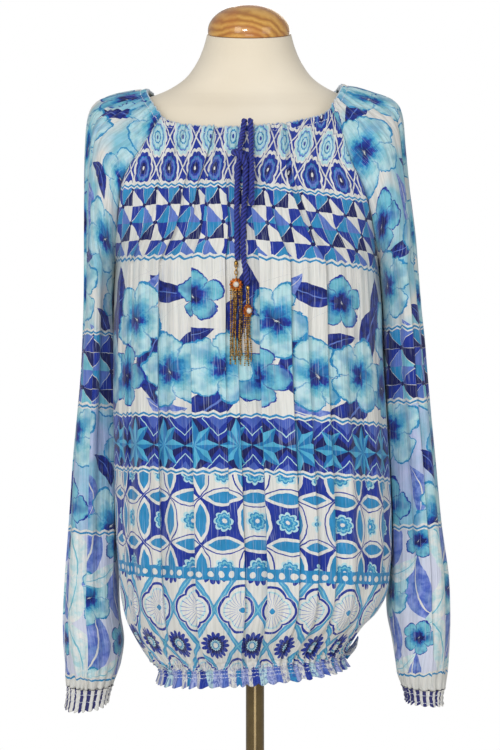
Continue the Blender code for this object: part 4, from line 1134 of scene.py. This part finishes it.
def tube_faces(rings, sides):
    """Quads between rings of points."""
    return [(k * sides + j, k * sides + n, (k + 1) * sides + n, (k + 1) * sides + j)
            for k in range(rings - 1) for j in range(sides) for n in [(j + 1) % sides]]


def laid_rope(name, path, mat):
    """Three strands laid into a rope, as one closed tube with a lobed section that turns."""
    sides = 36
    count = len(path)
    tangents = np.gradient(path, axis=0)
    tangents /= np.linalg.norm(tangents, axis=1, keepdims=True)
    side = np.cross(tangents[0], (0.0, 1.0, 0.2))
    run = run_along(path, 0)
    angle = np.linspace(0, math.tau, sides, endpoint=False)
    points = []
    marks = []
    for k, (centre, ahead) in enumerate(zip(path, tangents)):
        side = side - ahead * np.dot(side, ahead)
        side /= np.linalg.norm(side)
        up = np.cross(ahead, side)
        # outline of three touching strands: 0.464 of the radius each, 0.536 from the middle
        turned = angle - math.tau * run[k] / CORD_LAY
        away = (turned + math.pi / 3) % (math.tau / 3) - math.pi / 3
        strand = 0.536 * np.cos(away) + np.sqrt(0.464 ** 2 - (0.53 * np.sin(away)) ** 2)
        end = min(1.0, 0.35 + 0.4 * min(k, count - 1 - k))
        radius = (ROPE_R * np.maximum(strand, 0.42) * end)[:, None]
        points.append(centre + radius * (np.cos(angle)[:, None] * side
                                         + np.sin(angle)[:, None] * up))
        # the map holds how near a place is to the valley between two strands, where shade is
        # painted, and its run
        valley_shade_mask = np.abs(away) * 3 / math.pi
        marks += [(place, run[k] * MM) for place in valley_shade_mask]
    faces = tube_faces(count, sides)
    corners = [marks[corner] for face in faces for corner in face]
    for ring, turn in ((0, -1), (count - 1, 1)):
        faces.append(tuple(range(ring * sides, (ring + 1) * sides))[::turn])
        corners += [(0.5, run[ring] * MM)] * sides
    return new_piece(name, np.concatenate(points) * MM, faces, mat, print=np.array(corners))


def antique_metal(name, light, dark):
    """Cast bead metal with an antique finish: mottled at random from dark brown to bright, glossier
    where bright.
    """
    mat, add = finish(name, Roughness=0.34, Metallic=1.0)
    mottle = add("TexNoise", add("TexCoord").outputs["Object"], 420.0, 3.0, 0.6)
    rough = add("MapRange", mottle, 0.3, 0.7, 0.48, 0.28)
    shader = mat.node_tree.nodes["Principled BSDF"]
    mat.node_tree.links.new(shader.inputs["Roughness"], rough.outputs[0])
    return dyed(mat, add("ValToRGB", mottle, stops=[(0.35, dark), (0.62, light)]))


def mesh_piece(name, parts, mat):
    """Joins (vertices, faces) pairs in mm into one piece."""
    points, faces, start = [], [], 0
    for verts, polys in parts:
        points.append(np.asarray(verts) * MM)
        faces += [tuple(start + k for k in face) for face in polys]
        start += len(verts)
    return new_piece(name, np.concatenate(points), faces, mat)


def ball(centre, radius, around=8, bands=5, stretch=(1.0, 1.0, 1.0)):
    """A small closed sphere."""
    verts = [(0, 0, 1)]
    for b in range(1, bands):
        polar = math.pi * b / bands
        for a in range(around):
            turn = math.tau * a / around
            verts.append((math.sin(polar) * math.cos(turn), math.sin(polar) * math.sin(turn),
                          math.cos(polar)))
    verts.append((0, 0, -1))
    last = len(verts) - 1
    base = 1 + (bands - 2) * around
    faces = []
    for a in range(around):
        n = (a + 1) % around
        faces.append((0, 1 + a, 1 + n))
        for b in range(bands - 2):
            top, low = 1 + b * around, 1 + (b + 1) * around
            faces.append((top + a, low + a, low + n, top + n))
        faces.append((last, base + n, base + a))
    return np.array(verts) * radius * np.array(stretch) + np.array(centre), faces


def link(centre, along, across, length, width, wire):
    """An oval chain link of round wire."""
    rise = np.cross(along, across)
    steps, sides = 20, 6
    verts = []
    for turn in (math.tau * k / steps for k in range(steps)):
        out = along * math.cos(turn) + across * math.sin(turn)
        middle = along * math.cos(turn) * length / 2 + across * math.sin(turn) * width / 2
        for a in (math.tau * j / sides for j in range(sides)):
            verts.append(centre + middle + wire * (out * math.cos(a) + rise * math.sin(a)))
    return np.array(verts), [tuple(corner % len(verts) for corner in face[::-1])
                             for face in tube_faces(steps + 1, sides)]


def tassel(name, face, metal, copper, pearl_mat):
    """Rosette of beads round a pearl, hung by links from the cord's end, with bead chains."""
    x, z, turn, strands, pitch, end_z, hang_top = TASSELS[name]
    x += FORM_SHIFT
    y = min(face(x, low, 8.0) for low in np.arange(end_z, z + 8.0, 8.0)) - TASSEL_LIFT
    angle = math.radians(turn)
    ahead = np.array([math.sin(angle), -math.cos(angle), 0.0])
    side = np.array([math.cos(angle), math.sin(angle), 0.0])
    up = np.array([0.0, 0.0, 1.0])
    centre = np.array([x, y, z])
    rng = np.random.default_rng(61 + strands)

    rosette = []
    for radius, count, size, lift in ((6.3, 12, 1.6, 0.2), (4.3, 16, 0.7, 1.1)):
        for a in (math.tau * k / count for k in range(count)):
            at = centre + radius * (math.cos(a) * side + math.sin(a) * up) + ahead * lift
            rosette.append(ball(at, size))
    for lift, radius, wire in ((-0.5, 5.4, 0.9), (0.6, 4.9, 0.6)):
        rosette.append(link(centre + ahead * lift, up, side, 2 * radius, 2 * radius, wire))
    # the plate behind them is a ball pressed to a fifth of its depth
    plate, faces = ball(centre - ahead * 0.5, 5.2, 20, 8)
    rosette.append((plate - np.outer((plate - centre) @ ahead * 0.8, ahead), faces))
    pearl = [ball(centre + ahead * 1.5, PEARL_R - 0.2, 24, 14)]

    hanger = []
    gap = hang_top - (z + ROSETTE_R)
    links = max(3, round(gap / 4.4))
    for k in range(links):
        at = np.array([x, y, z + ROSETTE_R + gap * (k + 0.5) / links])
        hanger.append(link(at, up, side if k % 2 else ahead, gap / links + 2.0, 3.4, 0.55))
    hanger.append(ball((x, y, hang_top + 0.4), 2.3, 14, 8, (1.0, 1.0, 1.25)))
    chains = []
    for k in range(strands):
        across = (k - (strands - 1) / 2) * pitch
        layer = 0.9 if k % 2 else -0.5
        high = centre + side * across * 0.92 - up * (ROSETTE_R * 0.62) + ahead * layer
        low = centre + side * across * 0.98 + ahead * (layer + 0.4 * ((k % 3) - 1))
        low[2] = end_z + 5.0 * ((k * 5) % 3)
        sway = rng.uniform(-1.9, 1.9, 2)
        beads = int(np.linalg.norm(high - low) / BEAD_STEP)
        for b in range(beads + 1):
            u = b / beads
            bend = math.sin(math.pi * u) * sway[0] + math.sin(math.tau * u) * sway[1] * 0.7
            at = high + (low - high) * u + side * bend
            chains.append(ball(at, 1.22 if b % 2 else 0.98, 7, 4, (1.0, 1.0, 0.92)))
    return [mesh_piece(name + title, parts, mat) for title, parts, mat in (
        ("_rosette", rosette, copper), ("_pearl", pearl, pearl_mat),
        ("_hanger", hanger, metal), ("_chains", chains, metal))]


# =============================== dress form and stand ===============================
def knitted_jersey():
    """Fine cotton jersey stretched over foam: matt ivory, with the faint ribs of its knit."""
    mat, add = finish("ivory_cotton_jersey", Roughness=0.92, Sheen_Weight=0.3,
                      Specular_IOR_Level=0.2)
    place = add("TexCoord").outputs["Object"]
    shade = add("TexNoise", place, 9.0, 2.0, 0.5)
    # wales 1.1 mm apart
    wale = add("Mapping", place, None, None, (900.0, 900.0, 320.0))
    knit = add("TexNoise", wale, 1.0, 2.0, 0.5)
    return dyed(mat, add("ValToRGB", shade, stops=[(0.3, "E8DCC6"), (0.7, "F0E6D3")]),
                (knit, 0.35, 0.0004))


def dress_form(mat):
    """Limbless torso: a smooth loft through the part's own sections, closed at both ends."""
    cols = 112
    sections = smooth_rows(FORM, np.linspace(0, len(FORM) - 1, 170))
    angle = np.linspace(0, math.tau, cols, endpoint=False)
    rings = []
    for z, half_x, front, back in sections:
        neck = min(max((z - 1385) / 60, 0.0), 1.0)
        tilt = math.tan(math.radians(CAP_TILT)) * neck ** 2
        power = 2 / (2.25 - 0.25 * neck)
        sx, sy = (np.sign(c) * np.abs(c) ** power for c in (np.cos(angle), np.sin(angle)))
        y = sy * np.where(sy > 0, back, front)
        rings.append(np.stack([sx * half_x + NECK_CENTRE[0] + FORM_SHIFT,
                               y + NECK_CENTRE[1] * neck, z + y * tilt], axis=-1))
    last = (len(rings) - 1) * cols
    faces = tube_faces(len(rings), cols)
    faces += [tuple(range(cols))[::-1], tuple(range(last, last + cols))]
    form = mesh_piece("jersey_form", [(np.concatenate(rings), faces)], mat)
    form.data.set_sharp_from_angle(angle=math.radians(40))
    return form


def lacquered_beech():
    """Turned beech, stained warm and lacquered: wavy grain under a clear glossy coat."""
    mat, add = finish("lacquered_beech", Roughness=0.42, Coat_Weight=1.0, Coat_Roughness=0.07)
    place = add("TexCoord").outputs["Object"]
    lean = add("Mapping", place, (-0.016, 0.0, 1.430), (0.25, 0.10, 0.30),
               vector_type="TEXTURE")
    warp = add("TexNoise", lean, 16.0, 3.0, 0.5).outputs["Color"]
    moved = add("VectorMath MULTIPLY_ADD", warp, (0.018, 0.018, 0.018), lean)
    rings = add("TexWave", moved, 40.0, 4.0, 3.0, 1.2, wave_type="RINGS", rings_direction="Y")
    wood = add("ValToRGB", rings, stops=[
        (0.0, "B0742C"), (0.3, "C68A38"), (0.6, "D09740"), (1.0, "E0AA52")])
    pores = add("Mapping", lean, None, None, (140.0, 900.0, 900.0))
    pore = add("TexNoise", pores, 1.0, 2.0, 0.5)
    wood = add("Mix RGBA", add("MapRange", pore, 0.58, 0.70, 0.0, 0.35), wood, "8E5A28")
    stain = add("TexNoise", place, 26.0, 1.0, 0.5)
    return dyed(mat, add("Mix RGBA", add("MapRange", stain, 0.46, 0.62, 0.0, 0.45), wood, "B8641C"))


def bronze_lacquer():
    """Steel tube and plate in bronze-brown stoving lacquer with a satin shine."""
    mat, add = finish("bronze_stoving_lacquer", Roughness=0.16, Metallic=0.80, Coat_Weight=0.5,
                      Coat_Roughness=0.06)
    place = add("TexCoord").outputs["Object"]
    cloud = add("TexNoise", place, 60.0, 4.0, 0.6)
    grain = add("TexNoise", place, 1400.0, 2.0, 0.5)
    return dyed(mat, add("ValToRGB", cloud, stops=[(0.3, "74613E"), (0.7, "86724A")]),
                (grain, 0.12, 0.0002))


def eased(name, width, corner, smooth, mat):
    """Names the piece at work, rounds its edges, and applies its place and its finish."""
    piece = bpy.context.object
    piece.name = name
    ease = piece.modifiers.new("ease", "BEVEL")
    ease.width = width * MM
    ease.segments = 3
    ease.limit_method = "ANGLE"
    ease.angle_limit = math.radians(corner)
    bpy.ops.object.modifier_apply(modifier="ease")
    bpy.ops.object.transform_apply(location=True, rotation=True, scale=True)
    bpy.ops.object.shade_smooth_by_angle(angle=math.radians(smooth))
    piece.data.materials.append(mat)
    piece.select_set(False)
    return piece


def wooden_cap(mat):
    """Turned dome on the neck plate: a flattened ball, cut flat and rounded at the rim."""
    bpy.ops.mesh.primitive_uv_sphere_add(segments=96, ring_count=64, radius=1.0)
    bpy.ops.object.mode_set(mode="EDIT")
    bpy.ops.transform.resize(value=(CAP_R * MM, CAP_R * MM, (CAP_HEIGHT - CAP_WAIST) * MM))
    bpy.ops.transform.translate(value=(0, 0, CAP_WAIST * MM))
    bpy.ops.mesh.bisect(plane_co=(0, 0, 0), plane_no=(0, 0, -1), use_fill=True,
                        clear_outer=True)
    bpy.ops.object.mode_set(mode="OBJECT")
    cap = bpy.context.object
    cap.rotation_euler = (math.radians(CAP_TILT), 0.0, 0.0)
    cap.location = ((NECK_CENTRE[0] + FORM_SHIFT) * MM, NECK_CENTRE[1] * MM,
                    (FORM[-1][0] + 0.5) * MM)
    return eased("turned_cap", 0.9, 50, 35, mat)


def steel_round(radius, low, high, vertices):
    """A round bar or plate, standing on the axis of the pole."""
    bpy.ops.mesh.primitive_cylinder_add(vertices=vertices, radius=radius * MM,
                                        depth=(high - low) * MM,
                                        location=(0, 0, (high + low) / 2 * MM))


def pole_and_base(mat):
    """Round steel tube in a welded socket on a round plate with eased edges."""
    steel_round(POLE_R, SOCKET_TOP + 0.5, POLE_TOP, 72)
    pole = eased("steel_pole", 1.2, 40, 12, mat)
    steel_round(BASE_R, 0.0, BASE_T, 160)
    bpy.ops.object.mode_set(mode="EDIT")
    bpy.ops.mesh.select_all(action="DESELECT")
    bpy.ops.object.mode_set(mode="OBJECT")
    for face in bpy.context.object.data.polygons:
        face.select = face.normal.z > 0.9
    bpy.ops.object.mode_set(mode="EDIT")
    bpy.ops.mesh.inset(thickness=(BASE_R - SOCKET_R) * MM, depth=0.0)
    bpy.ops.mesh.extrude_region_move(
        TRANSFORM_OT_translate={"value": (0, 0, (SOCKET_TOP - BASE_T) * MM)})
    bpy.ops.object.mode_set(mode="OBJECT")
    return pole, eased("steel_base", 1.2, 40, 12, mat)


# =============================== assembly ===============================
def stands_for(piece, node):
    """The piece takes the place of a CAD node and rides on the only body."""
    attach(piece, "root")
    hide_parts(node)


camera_and_light()
front_face = front_solid_face()

rope_mat = twisted_rayon()
chain_metal = antique_metal("antique_brass_bead_chain", "E6B45E", "2E200E")
rosette_metal = antique_metal("copper_gilt_casting", "DE8A44", "8A3A18")
pearl_mat, _ = finish("glass_pearl", Roughness=0.22, Base_Color=paint("D8D0C4"), Coat_Weight=0.6)

for name in TASSELS:
    pieces = tassel(name, front_face, chain_metal, rosette_metal, pearl_mat)
    for piece in pieces:
        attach(piece, "root")
    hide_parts(name)

for side in ("right", "left"):
    name = "drawstring_" + side
    path = cord_path(name, front_face)
    rope = laid_rope(name + "_rope", path, rope_mat)
    stands_for(rope, name)
    length = float(run_along(path, 0)[-1]) * MM

body_print, sleeve_print = blouse_designs()
sleeve_cloth = crinkled_viscose("printed_crinkle_viscose_sleeve", sleeve_print, 7.0, NECK_ROWS)
cuff_cloth = striped_cuff_cloth()

for panel, seed, cut, area in (("front", 0.0, (0.65, 0.67), 0.40),
                               ("back", 3.0, (0.65, 0.72), 0.43)):
    cloth = crinkled_viscose("printed_crinkle_viscose_" + panel, body_print, seed,
                             NECK_ROWS + HEM_ROWS)
    piece = body_panel(panel + "_panel", cloth)
    stands_for(piece, panel + "_panel")
for side in ("right", "left"):
    piece = sleeve(side, sleeve_cloth)
    stands_for(piece, "sleeve_" + side)
    piece = cuff(side, cuff_cloth)
    stands_for(piece, "cuff_" + side)

stands_for(dress_form(knitted_jersey()), "dress_form")
stands_for(wooden_cap(lacquered_beech()), "neck_cap")
pole, base = pole_and_base(bronze_lacquer())
stands_for(pole, "stand_pole")
stands_for(base, "stand_base")
